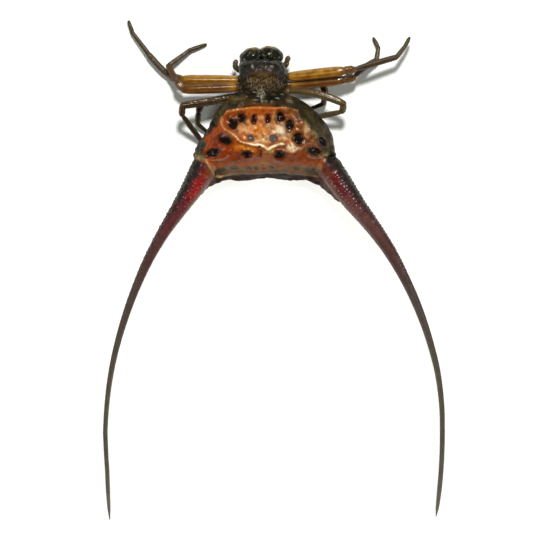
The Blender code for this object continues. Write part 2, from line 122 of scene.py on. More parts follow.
# Soft patches of colour: centre, half sizes, turn in degrees, colour and strength
# The pale cream patches at (0.40, 9.00), (1.17, 7.85) and (-1.10, 8.22) are painted highlights
PATCHES = (
    (-2.99, 7.74, 1.00, 0.65, 0, (138, 50, 8), 0.9), (-3.74, 8.15, 0.36, 0.52, 0, (112, 38, 14), 0.9),
    (1.95, 7.16, 1.15, 0.30, 0, (132, 56, 14), 0.9), (-1.85, 7.86, 0.60, 0.22, -8, (196, 116, 26), 0.9),
    (-0.45, 7.50, 0.50, 0.34, 0, (156, 94, 30), 0.9), (-0.91, 7.62, 0.11, 0.36, 0, (84, 26, 4), 0.9),
    (-0.42, 7.72, 0.26, 0.16, 0, (220, 168, 86), 0.9), (2.35, 8.02, 0.50, 0.30, 10, (96, 56, 28), 0.9),
    (-1.05, 9.04, 1.20, 0.60, 0, (186, 110, 46), 0.8), (-2.00, 9.12, 0.52, 0.36, 12, (216, 162, 112), 0.85),
    (0.40, 9.00, 0.30, 0.30, 20, (240, 226, 190), 0.95), (1.17, 7.85, 0.32, 0.22, 0, (232, 208, 166), 0.95),
    (-0.60, 8.45, 0.46, 0.34, 0, (192, 148, 94), 0.9), (-0.98, 9.02, 0.40, 0.22, 0, (200, 116, 40), 0.9),
    (-0.86, 9.66, 0.15, 0.34, 0, (176, 112, 74), 0.9), (0.07, 9.72, 0.14, 0.38, 0, (170, 128, 78), 0.9),
    (-2.00, 9.50, 0.24, 0.22, 0, (120, 74, 40), 0.8), (1.50, 9.86, 0.24, 0.46, 20, (76, 54, 32), 0.9),
    (0.80, 8.52, 0.44, 0.20, 30, (196, 150, 102), 0.85), (2.14, 8.80, 0.32, 0.60, 35, (108, 62, 28), 0.9),
    (2.15, 9.13, 0.20, 0.24, -30, (220, 184, 138), 0.9), (2.02, 7.66, 0.28, 0.34, 0, (120, 66, 26), 0.9),
    (-2.60, 10.04, 0.40, 0.12, 10, (112, 40, 12), 0.9), (-1.17, 10.18, 1.20, 0.11, 0, (166, 80, 16), 0.9),
    (0.60, 10.14, 0.60, 0.12, 0, (118, 62, 20), 0.8), (-0.80, 6.96, 0.55, 0.14, 0, (166, 104, 52), 0.7),
    (1.00, 9.00, 0.26, 0.32, 0, (82, 58, 32), 0.85), (2.95, 7.26, 0.34, 0.20, 0, (100, 84, 60), 0.9),
    (-1.10, 8.22, 0.40, 0.12, 0, (216, 176, 124), 0.8), (-2.45, 8.98, 0.16, 0.24, 0, (96, 60, 34), 0.8),
    (-0.36, 9.26, 0.26, 0.20, 0, (194, 148, 100), 0.8),
)
# The same on the dark skin of the front slope and the flanks
DARK_PATCHES = (
    (-2.34, 11.02, 0.46, 0.17, 0, (98, 80, 34), 0.9), (-1.45, 10.74, 0.60, 0.17, 0, (78, 50, 16), 0.9),
    (0.10, 11.16, 0.70, 0.22, 0, (12, 12, 6), 0.9), (-0.50, 10.74, 0.50, 0.16, 0, (88, 62, 26), 0.9),
    (0.20, 10.78, 0.50, 0.12, 0, (50, 36, 16), 0.9), (0.98, 10.92, 0.28, 0.16, -30, (84, 66, 32), 0.9),
    (1.69, 10.62, 0.50, 0.28, -35, (30, 28, 14), 0.9), (3.05, 8.58, 0.42, 0.90, 20, (74, 62, 42), 0.8),
    (3.92, 7.95, 0.12, 0.55, 15, (96, 84, 44), 0.8), (-4.80, 7.24, 0.42, 0.28, 0, (142, 122, 82), 0.95),
    (-3.40, 10.20, 0.20, 0.55, -30, (84, 72, 38), 0.8), (2.30, 10.00, 0.16, 0.60, 40, (70, 62, 32), 0.7),
    (-4.45, 8.35, 0.20, 0.50, -20, (76, 62, 34), 0.8), (2.12, 9.36, 0.16, 0.26, 20, (150, 124, 82), 0.8),
    (2.58, 8.76, 0.14, 0.24, 30, (150, 122, 86), 0.85), (3.30, 7.46, 0.34, 0.20, 0, (122, 104, 72), 0.9),
    (-2.75, 10.42, 0.40, 0.14, 12, (58, 46, 24), 0.9), (0.95, 10.40, 0.34, 0.14, -20, (96, 58, 28), 0.8),
)
# Dark pits: centre, half sizes, turn in degrees and kind
PITS = (
    (-2.71, 9.43, 0.33, 0.36, 10, "black"), (-2.12, 9.84, 0.29, 0.31, 0, "black"),
    (-1.33, 9.70, 0.19, 0.32, 0, "red"), (-0.40, 9.77, 0.20, 0.31, 0, "red"),
    (0.45, 9.88, 0.30, 0.34, 0, "black"), (1.02, 9.40, 0.29, 0.37, -8, "black"),
    (-1.51, 8.48, 0.25, 0.24, 0, "grey"), (-0.05, 8.47, 0.31, 0.26, 0, "grey"),
    (-3.16, 8.37, 0.45, 0.31, -22, "black"), (1.60, 8.46, 0.36, 0.41, 15, "black"),
    (-3.98, 7.54, 0.44, 0.26, 12, "black"), (2.60, 7.61, 0.43, 0.26, -16, "black"),
    (3.13, 8.24, 0.22, 0.33, 28, "black"), (-1.76, 7.47, 0.31, 0.21, 0, "black"),
    (0.39, 7.40, 0.35, 0.25, -5, "black"), (-0.91, 7.90, 0.08, 0.12, 0, "brown"),
    (-0.91, 7.46, 0.09, 0.13, 0, "brown"), (-4.68, 8.10, 0.30, 0.24, 0, "green"),
    (3.70, 7.18, 0.25, 0.36, -15, "green"), (-5.06, 6.84, 0.22, 0.24, 0, "green"),
    (-3.47, 6.40, 0.40, 0.16, 18, "faint"), (-2.54, 6.58, 0.30, 0.13, 5, "faint"),
    (-1.62, 6.56, 0.20, 0.12, 0, "faint"), (-1.17, 6.58, 0.16, 0.09, 0, "faint"),
    (-0.68, 6.58, 0.15, 0.09, 0, "faint"), (-0.13, 6.58, 0.18, 0.10, 0, "faint"),
    (1.47, 6.52, 0.24, 0.13, 0, "faint"), (2.38, 6.38, 0.38, 0.16, -14, "faint"),
)
PIT_COLOURS = {
    "black": (10, 8, 9), "red": (40, 10, 6), "grey": (82, 72, 72), "brown": (104, 30, 6),
    "green": (22, 24, 16), "faint": (60, 54, 42),
}
PIT_DEPTHS = {"black": 0.10, "red": 0.08, "grey": 0.06, "brown": 0.04, "green": 0.04, "faint": 0.03}

# Long horns: plan route, girth and height along the length, which is about 24 mm
HORN_LENGTH = 24.0
HORN_ROUTE = {
    "l": ((-4.70, 6.37), (-10.03, -1.65), (-11.61, -6.68), (-10.80, -16.30)),
    "r": ((3.80, 6.47), (9.80, -0.48), (11.96, -6.85), (10.61, -16.10)),
}
HORN_RADIUS = {
    "l": ((-0.08, 0.56), (-0.04, 0.66), (0.0, 0.82), (0.05, 0.71), (0.13, 0.515), (0.20, 0.40),
          (0.28, 0.325), (0.36, 0.275), (0.43, 0.245), (0.54, 0.20), (0.72, 0.155), (0.91, 0.14),
          (0.97, 0.10), (1.0, 0.03)),
    "r": ((-0.08, 0.58), (0.0, 0.80), (0.05, 0.76), (0.13, 0.60), (0.20, 0.49), (0.28, 0.40), (0.36, 0.32),
          (0.43, 0.28), (0.54, 0.222), (0.72, 0.17), (0.91, 0.16), (0.97, 0.12), (1.0, 0.03)),
}
# How far each horn stands in towards the middle from that route
HORN_INWARD = {
    "l": ((0.0, 0.06), (0.06, 0.12), (0.125, 0.09), (0.20, 0.0), (0.28, -0.035), (0.36, -0.015), (0.48, 0.01),
          (0.60, 0.0), (0.75, 0.01), (0.81, 0.08), (0.88, 0.15), (1.0, 0.13)),
    "r": ((0.0, 0.12), (0.06, 0.24), (0.11, 0.29), (0.17, 0.23), (0.27, 0.13), (0.36, 0.11), (0.46, 0.075),
          (0.54, 0.04), (0.62, -0.01), (0.70, 0.0), (0.78, 0.05), (0.90, 0.075), (1.0, 0.08)),
}
# Height of the horns' middle lines, which stay level and just over the surface from the last place on
HORN_HEIGHT = (
    (-0.08, 1.55), (0.0, 1.42), (0.13, 1.62), (0.24, 1.48), (0.40, 0.88), (0.54, 0.42), (0.64, 0.20),
    (0.72, 0.155),
)
HORN_BURIED = -0.08  # share of the length at which the part in the abdomen's skin begins
HORN_START = -0.025  # share at which the horn's own piece begins
# The horn's girth within the abdomen's skin, as a share of its own
HORN_ROOT_GIRTH = ((-0.08, 1.05), (-0.01, 1.06), (0.012, 0.97), (0.022, 0.60))
# Rows of teeth across each horn, up to this length, and fine grains strewn between them
TOOTHED_LENGTH = 13.0
TOOTH_SPACING = 0.27
TOOTH_ROW_GAP = 0.23
TOOTH_WIDTH = 0.12
GRAIN_COUNT = 3000
GRAIN_WIDTH = 0.06

# Front body: y, centre x, half width, top z and underside z of each section
PROSOMA = (
    (13.60, -0.84, 0.80, 2.62, 1.85), (13.53, -0.83, 1.18, 2.84, 1.50), (13.40, -0.82, 1.40, 3.04, 1.20),
    (13.15, -0.80, 1.49, 3.24, 0.98), (12.70, -0.72, 1.57, 3.30, 0.80), (12.25, -0.66, 1.57, 3.00, 0.75),
    (11.80, -0.64, 1.46, 2.34, 0.75), (11.25, -0.66, 1.18, 1.80, 0.80), (10.95, -0.68, 0.80, 1.46, 0.90),
    (10.80, -0.68, 0.35, 1.26, 1.02),
)
PROSOMA_MIDDLE = -0.74  # x of the line that its grooves and colours are laid out from
# Eyes: centre and radius
EYES = (
    (-1.02, 13.40, 3.03, 0.13), (-0.60, 13.40, 3.03, 0.13), (-1.06, 13.59, 2.74, 0.12),
    (-0.58, 13.59, 2.74, 0.12), (-2.04, 13.27, 2.64, 0.11), (0.44, 13.30, 2.64, 0.11),
    (-2.12, 13.06, 2.50, 0.11), (0.54, 13.10, 2.50, 0.11),
)
# Chelicerae, the fangs' bases: centre, half sizes and girth from the underside (-1) to the top (1)
CHELICERA_HUB = {"l": (-1.46, 13.79, 1.70), "r": (-0.22, 13.88, 1.70)}
CHELICERA_HALF = {"l": (0.76, 0.60, 0.92), "r": (0.80, 0.61, 0.92)}
CHELICERA_GIRTH = ((-1.0, 0.62), (-0.5, 0.86), (0.0, 0.98), (0.45, 1.04), (1.0, 1.0))
CHELICERA_SEAM = {"l": -0.81, "r": -0.91}  # where each one's inner side is pressed flat
CHELICERA_LEAN = {"l": 0.18, "r": 0.14}  # how far its front end leans inward
# Fangs: points from their base's centre, with x inward, and radius from root to tip
FANG_ROUTE = ((-0.10, 0.10, -0.65), (0.00, 0.16, -0.98), (0.28, 0.10, -1.10))
FANG_GIRTH = ((0, 0.19), (0.5, 0.13), (1, 0.02))
# Spinnerets: middle of their ring in plan, and radius of each cone from its root down
SPINNERET_HUB = (-0.50, 7.95)
SPINNERET_GIRTH = ((0, 0.235), (0.6, 0.20), (1, 0.11))

# Legs: the joints from the hip to the claw
LEG_JOINTS = {
    "leg_1_l": ((-2.02, 12.40, 0.98), (-2.34, 12.25, 0.98), (-5.88, 12.28, 0.94), (-6.74, 12.49, 0.50),
                (-8.14, 13.95, 0.46), (-9.18, 15.32, 0.24), (-9.45, 16.10, 0.15)),
    "leg_2_l": ((-2.02, 11.90, 1.34), (-2.41, 11.80, 1.54), (-5.85, 11.68, 1.50), (-6.25, 12.08, 1.42),
                (-6.88, 13.20, 0.74), (-5.46, 14.24, 0.30), (-4.42, 14.59, 0.14)),
    "leg_3_l": ((-1.89, 11.34, 1.05), (-2.47, 11.25, 0.90), (-4.68, 10.79, 1.05), (-4.91, 10.27, 0.90),
                (-4.96, 9.43, 0.52), (-4.42, 8.97, 0.30), (-3.90, 8.58, 0.10)),
    "leg_4_l": ((-1.82, 10.73, 1.30), (-2.47, 11.12, 1.70), (-5.95, 10.60, 2.20), (-5.98, 10.01, 1.95),
                (-4.78, 8.39, 0.35), (-3.90, 7.61, 0.25), (-3.38, 7.22, 0.10)),
    "leg_1_r": ((0.60, 12.46, 1.38), (0.95, 12.47, 1.58), (4.45, 12.86, 2.00), (5.16, 12.94, 1.92),
                (7.96, 13.76, 1.50), (8.52, 14.48, 1.22), (8.80, 15.02, 1.05)),
    "leg_2_r": ((0.60, 11.90, 1.14), (1.04, 11.93, 1.20), (4.45, 12.28, 1.46), (5.16, 12.42, 1.24),
                (6.65, 13.55, 0.52), (6.78, 14.40, 0.32), (6.46, 15.00, 0.15)),
    "leg_3_r": ((0.46, 11.34, 0.95), (0.91, 11.51, 0.80), (3.12, 12.09, 0.50), (3.35, 11.44, 0.60),
                (3.19, 10.73, 0.52), (2.58, 10.49, 0.35), (2.08, 10.34, 0.10)),
    "leg_4_r": ((0.46, 10.80, 1.30), (0.92, 11.56, 1.75), (4.54, 10.72, 2.20), (4.42, 10.21, 1.90),
                (2.86, 9.88, 1.00), (2.15, 9.23, 0.45), (1.76, 8.78, 0.10)),
}
# Segments that bow, counted from 0 at the hip, and how far their middles stand off the straight line
BOWED = {
    "leg_4_r": {1: (0.05, 0.22, 0.05)},
    "leg_1_l": {3: (-0.02, -0.03, 0.0)},
    "leg_2_r": {3: (-0.05, 0.09, 0.0)},
}
PALP_JOINTS = {
    "palp_l": ((-1.95, 12.82, 1.18), (-2.38, 12.94, 1.36), (-2.55, 13.24, 1.47), (-2.46, 13.50, 1.45)),
    "palp_r": ((0.42, 12.92, 1.00), (0.72, 13.14, 1.28), (0.84, 13.44, 1.42), (0.92, 13.74, 1.50)),
}
# Radius of the hip, thigh, knee, shin, foot and toe
LIMB_RADII = {
    "front": (0.30, 0.335, 0.275, 0.195, 0.160, 0.135),
    "rear": (0.26, 0.240, 0.215, 0.175, 0.145, 0.130),
    "palp": (0.17, 0.18, 0.165),
}
# Girth along each kind of segment, as shares of its length and radius
SEGMENT_SHAPES = (
    ((0.0, 0.85), (0.5, 1.0), (1.0, 0.90)),
    ((0.0, 0.80), (0.08, 0.90), (0.25, 0.97), (0.55, 1.0), (0.90, 0.97), (1.0, 0.84)),
    ((0.0, 0.78), (0.4, 1.0), (0.85, 1.0), (1.0, 0.84)),
    ((0.0, 0.70), (0.10, 0.82), (0.35, 1.02), (0.7, 1.0), (0.95, 0.98), (1.0, 0.84)),
    ((0.0, 0.88), (0.1, 1.02), (0.6, 0.95), (1.0, 0.88)),
    ((0.0, 0.95), (0.3, 1.0), (0.75, 0.92), (1.0, 0.66)),
)
# Grooves along each segment, from the hip to the toe
GROOVE_COUNTS = (6, 8, 6, 6, 5, 4)
GROOVE_DEPTHS = (0.008, 0.014, 0.012, 0.008, 0.005, 0.003)
# Colour of each segment and of its grooves; the groove colour, laid in the grooves, is painted shade, and so
# is the second legs' darker tone
SEGMENT_COLOURS = {
    "first": (((96, 66, 24), (66, 40, 12)), ((166, 122, 44), (112, 68, 14)), ((110, 78, 34), (74, 48, 18)),
              ((66, 50, 24), (46, 32, 13)), ((66, 53, 28), (46, 34, 17)), ((60, 56, 22), (44, 38, 14))),
    "second": (((92, 60, 24), (58, 36, 12)), ((108, 72, 30), (72, 43, 13)), ((104, 72, 34), (70, 44, 18)),
               ((82, 56, 24), (56, 34, 12)), ((78, 58, 26), (54, 36, 15)), ((64, 56, 22), (46, 36, 14))),
    "rear": (((72, 48, 18), (44, 28, 8)), ((72, 49, 18), (44, 29, 9)), ((74, 48, 18), (46, 28, 10)),
             ((60, 44, 22), (40, 27, 13)), ((56, 43, 23), (38, 27, 15)), ((52, 41, 21), (36, 26, 14))),
    "palp": (((74, 66, 44), (52, 44, 26)), ((80, 72, 48), (56, 48, 28)), ((86, 78, 54), (60, 50, 32))),
}

# Hairs: girth at four places along each, how far they stray, and the side of one's patch in the map
HAIR_LEVELS = np.array((0.0, 0.35, 0.7, 1.0))
HAIR_GIRTHS = np.array((1.0, 0.85, 0.5, 0.08))
HAIR_SPREAD = 0.2
HAIR_PATCH = 0.003

# Colours and noise of the materials
EXPOSURE = 0.84  # of the measured colours, for a floor lit to white
DARKEST = 0.0008
MOTTLE_SCALE = 2600.0
HAIR_NOISE_SCALE = 3000.0

# Stage: the surface, the room and the lights, with places and sizes in millimetres
FLOOR_COLOUR = (0.86, 0.87, 0.87, 1)
ROOM_COLOUR = (0.96, 1.0, 0.92, 1)
ROOM_STRENGTH = 0.12
LIT_POINT = (0.0, 5.0, 0.0)  # where every light is aimed
KEY_PLACE = (25.0, 240.0, 430.0)
KEY_SIZE = 75.0
KEY_COLOUR = (1.0, 0.98, 0.94)
KEY_POWER = 2.3
KEY_REST_POWER = 0.6
FILL_PLACES = {"fill_left": (-400.0, -150.0, 200.0), "fill_right": (400.0, -100.0, 200.0)}
FILL_SIZE = 200.0
FILL_COLOUR = (0.97, 1.0, 0.90)
FILL_POWER = 0.80


# Numbers and colours


def rgb(colour):
    """Screen colours from 0 to 255 as linear values."""
    value = np.asarray(colour, float) / 255
    return np.where(value <= 0.04045, value / 12.92, ((value + 0.055) / 1.055) ** 2.4)


def step(low, high, value):
    """Rises softly from 0 at low to 1 at high."""
    share = np.clip((np.asarray(value, float) - low) / (high - low), 0, 1)
    return share * share * (3 - 2 * share)


def hill(value, centre, width, power=2):
    """Rises to 1 where the value meets the centre, and fades out past the width."""
    return np.exp(-(np.abs((value - centre) / width) ** power))


def blend(first, second, share):
    """Moves each row of colours towards a second colour by its own share."""
    share = np.reshape(np.asarray(share, float), (-1, 1))
    return first * (1 - share) + np.asarray(second) * share


def overlaid(colours, layers):
    """Lays each layer's colour over the ones before it, by its share at each vertex."""
    for colour, share in layers:
        colours = blend(colours, rgb(colour), share)
    return colours


def painted(count, base, layers=()):
    """Colours of a skin's vertices: a base colour with layers over it."""
    return overlaid(np.tile(rgb(base), (count, 1)), layers)


def soft(table, at):
    """Reads a table of places and values along a soft curve that never passes its own values."""
    places, values = (np.array(column, float) for column in zip(*table))
    widths = np.diff(places)
    slopes = np.diff(values) / widths
    tangents = np.concatenate([slopes[:1], np.zeros(len(slopes) - 1), slopes[-1:]])
    for i in range(1, len(slopes)):
        before, after = slopes[i - 1], slopes[i]
        if before * after > 0:
            tangents[i] = 2 * before * after / (before + after)
    at = np.clip(np.asarray(at, float), places[0], places[-1])
    i = np.clip(np.searchsorted(places, at, side="right") - 1, 0, len(slopes) - 1)
    t = (at - places[i]) / widths[i]
    return (
        (1 + 2 * t) * (1 - t) ** 2 * values[i]
        + t * (1 - t) ** 2 * widths[i] * tangents[i]
        + t * t * (3 - 2 * t) * values[i + 1]
        + t * t * (t - 1) * widths[i] * tangents[i + 1]
    )


def ripple(points, wavelength, seed, waves=14):
    """Smooth noise from about -1 to 1, as a sum of plane waves in mixed directions."""
    draw = np.random.default_rng(seed)
    directions = draw.normal(size=(waves, 3))
    directions /= np.linalg.norm(directions, axis=1)[:, None]
    lengths = wavelength * draw.uniform(0.7, 1.5, waves)
    phases = draw.uniform(0, 2 * math.pi, waves)
    total = np.zeros(len(points))
    for direction, length, phase in zip(directions, lengths, phases):
        total += np.sin(points @ direction * (2 * math.pi / length) + phase)
    return total / math.sqrt(waves / 2) / 1.6


# Lines and plain forms


def full_turn(count):
    """Even angles round a circle."""
    return np.arange(count) * 2 * math.pi / count


def smooth_line(points, count):
    """Even points along a soft curve through the given ones."""
    points = np.array(points, float)
    points = np.vstack([2 * points[0] - points[1], points, 2 * points[-1] - points[-2]])
    t = np.linspace(0, 1, 24, endpoint=False)[:, None]
    pieces = []
    for a, b, c, d in zip(points, points[1:], points[2:], points[3:]):
        bends = (2 * a - 5 * b + 4 * c - d) * t**2 + (3 * b - a - 3 * c + d) * t**3
        pieces.append(0.5 * (2 * b + (c - a) * t + bends))
    line = np.vstack(pieces)
    lengths = lengths_along(line)
    at = np.linspace(0, lengths[-1], count)
    return np.column_stack([np.interp(at, lengths, line[:, i]) for i in range(line.shape[1])])


def lengths_along(line):
    """The length of a line up to each of its points."""
    return np.concatenate([[0], np.cumsum(np.linalg.norm(np.diff(line, axis=0), axis=1))])


def line_distance(points, line):
    """Distance from each point to the nearest of a dense line's points, and which one that is."""
    best = np.full(len(points), np.inf)
    which = np.zeros(len(points), int)
    for index, place_on_line in enumerate(line):
        gap = ((points - place_on_line) ** 2).sum(axis=1)
        nearer = gap < best
        best[nearer] = gap[nearer]
        which[nearer] = index
    return np.sqrt(best), which


def side_of(points, line):
    """Distance to a line, above 0 on its left when it is walked from its first point."""
    dense = smooth_line(line, 160)
    gap, which = line_distance(points, dense)
    ahead = np.gradient(dense, axis=0)[which]
    offset = points - dense[which]
    return gap * np.sign(ahead[:, 0] * offset[:, 1] - ahead[:, 1] * offset[:, 0])


def near(points, line, width):
    """Share from 0 to 1 of how close each point lies to a line."""
    gap, _ = line_distance(points, smooth_line(line, 160))
    return hill(gap, 0, width)


def inside(points, line):
    """Whether each point lies within a closed line, by counting crossings."""
    x, y = points[:, 0], points[:, 1]
    found = np.zeros(len(points), bool)
    for (ax, ay), (bx, by) in zip(line, np.roll(line, -1, axis=0)):
        crosses = (ay > y) != (by > y)
        if ay != by:
            found ^= crosses & (x < ax + (y - ay) / (by - ay) * (bx - ax))
    return found


def frames_along(points):
    """Directions along a line of points, and the side and upper directions across it."""
    ahead = np.gradient(points, axis=0)
    ahead /= np.linalg.norm(ahead, axis=1)[:, None]
    up = np.tile((0.0, 0.0, 1.0), (len(points), 1))
    up[np.abs(ahead[:, 2]) > 0.96] = (0.0, 1.0, 0.0)
    side = np.cross(ahead, up)
    side /= np.linalg.norm(side, axis=1)[:, None]
    return ahead, side, np.cross(side, ahead)


def circles(centres, side, up, turns, reach):
    """A ring of points round each centre, at the reach given for each centre and turn."""
    around = np.cos(turns)[None, :, None] * side[:, None] + np.sin(turns)[None, :, None] * up[:, None]
    return centres[:, None] + around * reach[..., None]


def ring_shape(rings):
    """Vertices and faces of a closed skin over rings of equal counts."""
    rings = np.asarray(rings)
    rows, count = rings.shape[:2]
    faces = []
    for row in range(rows - 1):
        for i in range(count):
            j = (i + 1) % count
            faces.append((row * count + i, row * count + j, (row + 1) * count + j, (row + 1) * count + i))
    faces.append(tuple(range(count))[::-1])
    faces.append(tuple(range((rows - 1) * count, rows * count)))
    return rings.reshape(-1, 3), faces


def tube_shape(points, radii, sides):
    """A round rod with the given radius at each point."""
    points = np.asarray(points, float)
    _, side, up = frames_along(points)
    return ring_shape(circles(points, side, up, full_turn(sides), np.asarray(radii, float)[:, None]))


def rounded_tube(line, radii):
    """A rod whose ends are domes reaching a little past its first and last points."""
    ahead, _, _ = frames_along(line)
    bends = np.radians((75, 50, 25))
    head = [line[0] - ahead[0] * radii[0] * 0.8 * math.sin(b) for b in bends]
    tail = [line[-1] + ahead[-1] * radii[-1] * 0.8 * math.sin(b) for b in bends[::-1]]
    points = np.vstack([head, line, tail])
    sizes = np.concatenate([radii[0] * np.cos(bends), radii, radii[-1] * np.cos(bends[::-1])])
    return tube_shape(points, sizes, 32)


def ball_shape(centre, half, rings, sides):
    """An ellipsoid."""
    tilts = np.linspace(0.04, math.pi - 0.04, rings)[:, None]
    turns = full_turn(sides)[None]
    unit = np.stack([
        np.sin(tilts) * np.cos(turns),
        np.sin(tilts) * np.sin(turns),
        np.broadcast_to(-np.cos(tilts), (rings, sides)),
    ], axis=-1)
    return ring_shape(np.asarray(centre) + unit * np.asarray(half))


def joined(shapes):
    """Several shapes as one list of vertices and faces."""
    vertices, faces, start = [], [], 0
    for points, sides in shapes:
        vertices.append(points)
        faces += [tuple(i + start for i in face) for face in sides]
        start += len(points)
    return np.vstack(vertices), faces


# Pieces and their meshes


def make_object(name, shape):
    """A new object in the scene from vertices and faces."""
    vertices, faces = shape
    mesh = bpy.data.meshes.new(name)
    mesh.from_pydata(vertices.tolist(), [], faces)
    mesh.update()
    obj = bpy.data.objects.new(name, mesh)
    bpy.context.scene.collection.objects.link(obj)
    return obj


def as_skin(name, shapes, voxel, rounds):
    """One even, closed skin over overlapping shapes, with its steps smoothed away."""
    obj = make_object(name, joined(shapes))
    remesh = obj.modifiers.new("skin", "REMESH")
    remesh.mode = "VOXEL"
    remesh.voxel_size = voxel
    ease = obj.modifiers.new("ease", "SMOOTH")
    ease.factor = 0.5
    ease.iterations = rounds
    graph = bpy.context.evaluated_depsgraph_get()
    made = bpy.data.meshes.new_from_object(obj.evaluated_get(graph))
    made.name = name
    obj.modifiers.clear()
    obj.data = made
    return obj


def read(mesh):
    """The mesh's vertices and vertex normals."""
    count = len(mesh.vertices)
    points = np.empty(count * 3, np.float32)
    normals = np.empty(count * 3, np.float32)
    mesh.vertices.foreach_get("co", points)
    mesh.vertex_normals.foreach_get("vector", normals)
    return points.reshape(-1, 3).astype(float), normals.reshape(-1, 3).astype(float)


def place(mesh, points):
    """Moves the mesh's vertices to the given points."""
    mesh.vertices.foreach_set("co", points.astype(np.float32).ravel())
    mesh.update()


def raised(points, normals, lift):
    """Points moved along their normals, and kept on or above the surface that the specimen lies on."""
    moved = points + normals * lift[:, None]
    moved[:, 2] = np.maximum(moved[:, 2], 0.0)
    return moved


def tint(mesh, colours, gloss):
    """Stores each vertex's colour, and how rough it is, for the material's nodes."""
    layer = mesh.attributes.new("tint", "FLOAT_COLOR", "POINT")
    data = np.column_stack([np.clip(colours * EXPOSURE, DARKEST, 1), np.ones(len(colours))])
    layer.data.foreach_set("color", data.astype(np.float32).ravel())
    layer = mesh.attributes.new("rough", "FLOAT", "POINT")
    layer.data.foreach_set("value", np.broadcast_to(gloss, len(colours)).astype(np.float32))


def finish(obj, material, nodes=()):
    """Turns a piece into metres about the footprint's middle, and gives it its finish."""
    points, _ = read(obj.data)
    place(obj.data, (points - MIDDLE) * MM)
    obj.data.shade_smooth()
    obj.data.materials.clear()
    obj.data.materials.append(material)
    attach(obj, "root")
    if nodes:
        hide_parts(*nodes)
    return obj


# Materials


def new_material(name):
    """A material with its node tree and its shader."""
    material = bpy.data.materials.new(name)
    material.use_nodes = True
    return material, material.node_tree, material.node_tree.nodes["Principled BSDF"]


def new_node(tree, kind, **values):
    """A node of the given kind, with values for its sockets."""
    node = tree.nodes.new("ShaderNode" + kind)
    for socket, value in values.items():
        node.inputs[socket.replace("_", " ")].default_value = value
    return node


def noise_node(tree, scale, detail=2.0):
    """Noise fixed to the piece itself."""
    where = new_node(tree, "TexCoord")
    noise = new_node(tree, "TexNoise", Scale=scale, Detail=detail)
    tree.links.new(where.outputs["Object"], noise.inputs["Vector"])
    return noise.outputs["Fac"]


def stored(tree, layer, output):
    """What the mesh stores at each vertex under a name."""
    node = new_node(tree, "Attribute")
    node.attribute_name = layer
    return node.outputs[output]


def ranged(tree, value, **limits):
    """A value turned from one range into another."""
    node = new_node(tree, "MapRange", **limits)
    tree.links.new(value, node.inputs["Value"])
    return node.outputs["Result"]


def shell_material(name, mottle, grain, grain_depth, shine=0.22, coat=0.0):
    """Hard glossy skin: its tint is mottled by noise, and a fine grain breaks its highlights."""
    material, tree, shader = new_material(name)
    shader.inputs["Specular IOR Level"].default_value = shine
    shader.inputs["Coat Weight"].default_value = coat
    shader.inputs["Coat Roughness"].default_value = 0.12
    broad, fine = noise_node(tree, MOTTLE_SCALE, 3.0), noise_node(tree, grain)

    scaled = new_node(tree, "VectorMath")
    scaled.operation = "SCALE"
    limits = {"From_Min": 0.25, "From_Max": 0.75, "To_Min": 1.0 - mottle, "To_Max": 1.0 + mottle}
    tree.links.new(stored(tree, "tint", "Color"), scaled.inputs[0])
    tree.links.new(ranged(tree, broad, **limits), scaled.inputs["Scale"])
    tree.links.new(scaled.outputs["Vector"], shader.inputs["Base Color"])

    total = new_node(tree, "Math")
    total.operation = "ADD"
    total.use_clamp = True
    tree.links.new(stored(tree, "rough", "Fac"), total.inputs[0])
    tree.links.new(ranged(tree, fine, To_Min=-0.08, To_Max=0.08), total.inputs[1])
    tree.links.new(total.outputs["Value"], shader.inputs["Roughness"])

    bump = new_node(tree, "Bump", Strength=0.4, Distance=grain_depth * MM)
    tree.links.new(fine, bump.inputs["Height"])
    tree.links.new(bump.outputs["Normal"], shader.inputs["Normal"])
    return material


def hair_material(name, colour):
    """Fine hair, a little paler here and there."""
    material, tree, shader = new_material(name)
    shader.inputs["Roughness"].default_value = 0.5
    ramp = new_node(tree, "ValToRGB")
    for element, position, shade in zip(ramp.color_ramp.elements, (0.35, 0.65), (0.6, 1.3)):
        element.position = position
        element.color = (*np.clip(rgb(colour) * shade, 0, 1), 1)
    tree.links.new(noise_node(tree, HAIR_NOISE_SCALE), ramp.inputs["Fac"])
    tree.links.new(ramp.outputs["Color"], shader.inputs["Base Color"])
    return material


# Abdomen


def outline_reach(turns):
    """How far the outline lies from the hub at angles counted from its first point."""
    offsets = np.array(OUTLINE) - HUB
    bearings = np.unwrap(np.arctan2(offsets[:, 1], offsets[:, 0]))
    reach = np.hypot(offsets[:, 0], offsets[:, 1])
    around = np.concatenate([bearings - 2 * math.pi, bearings, bearings + 2 * math.pi])
    return soft(list(zip(around, np.tile(reach, 3))), turns + bearings[0])


def cushion_shape():
    """The abdomen's plain form: high and full in front, falling to a low rim behind."""
    turns = full_turn(260)
    reach = outline_reach(turns)
    first = np.array(OUTLINE[0]) - HUB
    bearing = turns + math.atan2(first[1], first[0])
    forward = 0.5 * (1 + np.sin(bearing))
    rim, start = soft(RIM_Z, forward), soft(FALL_START, forward)
    shares = 1 - (1 - np.sin(np.radians(np.linspace(2, 88, 50)))) ** 1.1
    levels = [(s, True) for s in shares] + [(1.0, True)] + [(s, False) for s in shares[::-1]]
    rings = []
    for share, above in levels:
        x = HUB[0] + share * reach * np.cos(bearing)
        y = HUB[1] + share * reach * np.sin(bearing)
        fall = np.maximum(0, share - start) / (1 - start)
        top = CROWN_Z - (CROWN_Z - rim) * fall**1.2
        belly = soft(BELLY_Z, y)
        middle = 0.5 * (rim + np.minimum(belly, rim - 0.3))
        z = middle + ((top if above else belly) - middle) * (1 - share**9) ** 0.5
        rings.append(np.column_stack([x, y, z]))
    return ring_shape(rings)


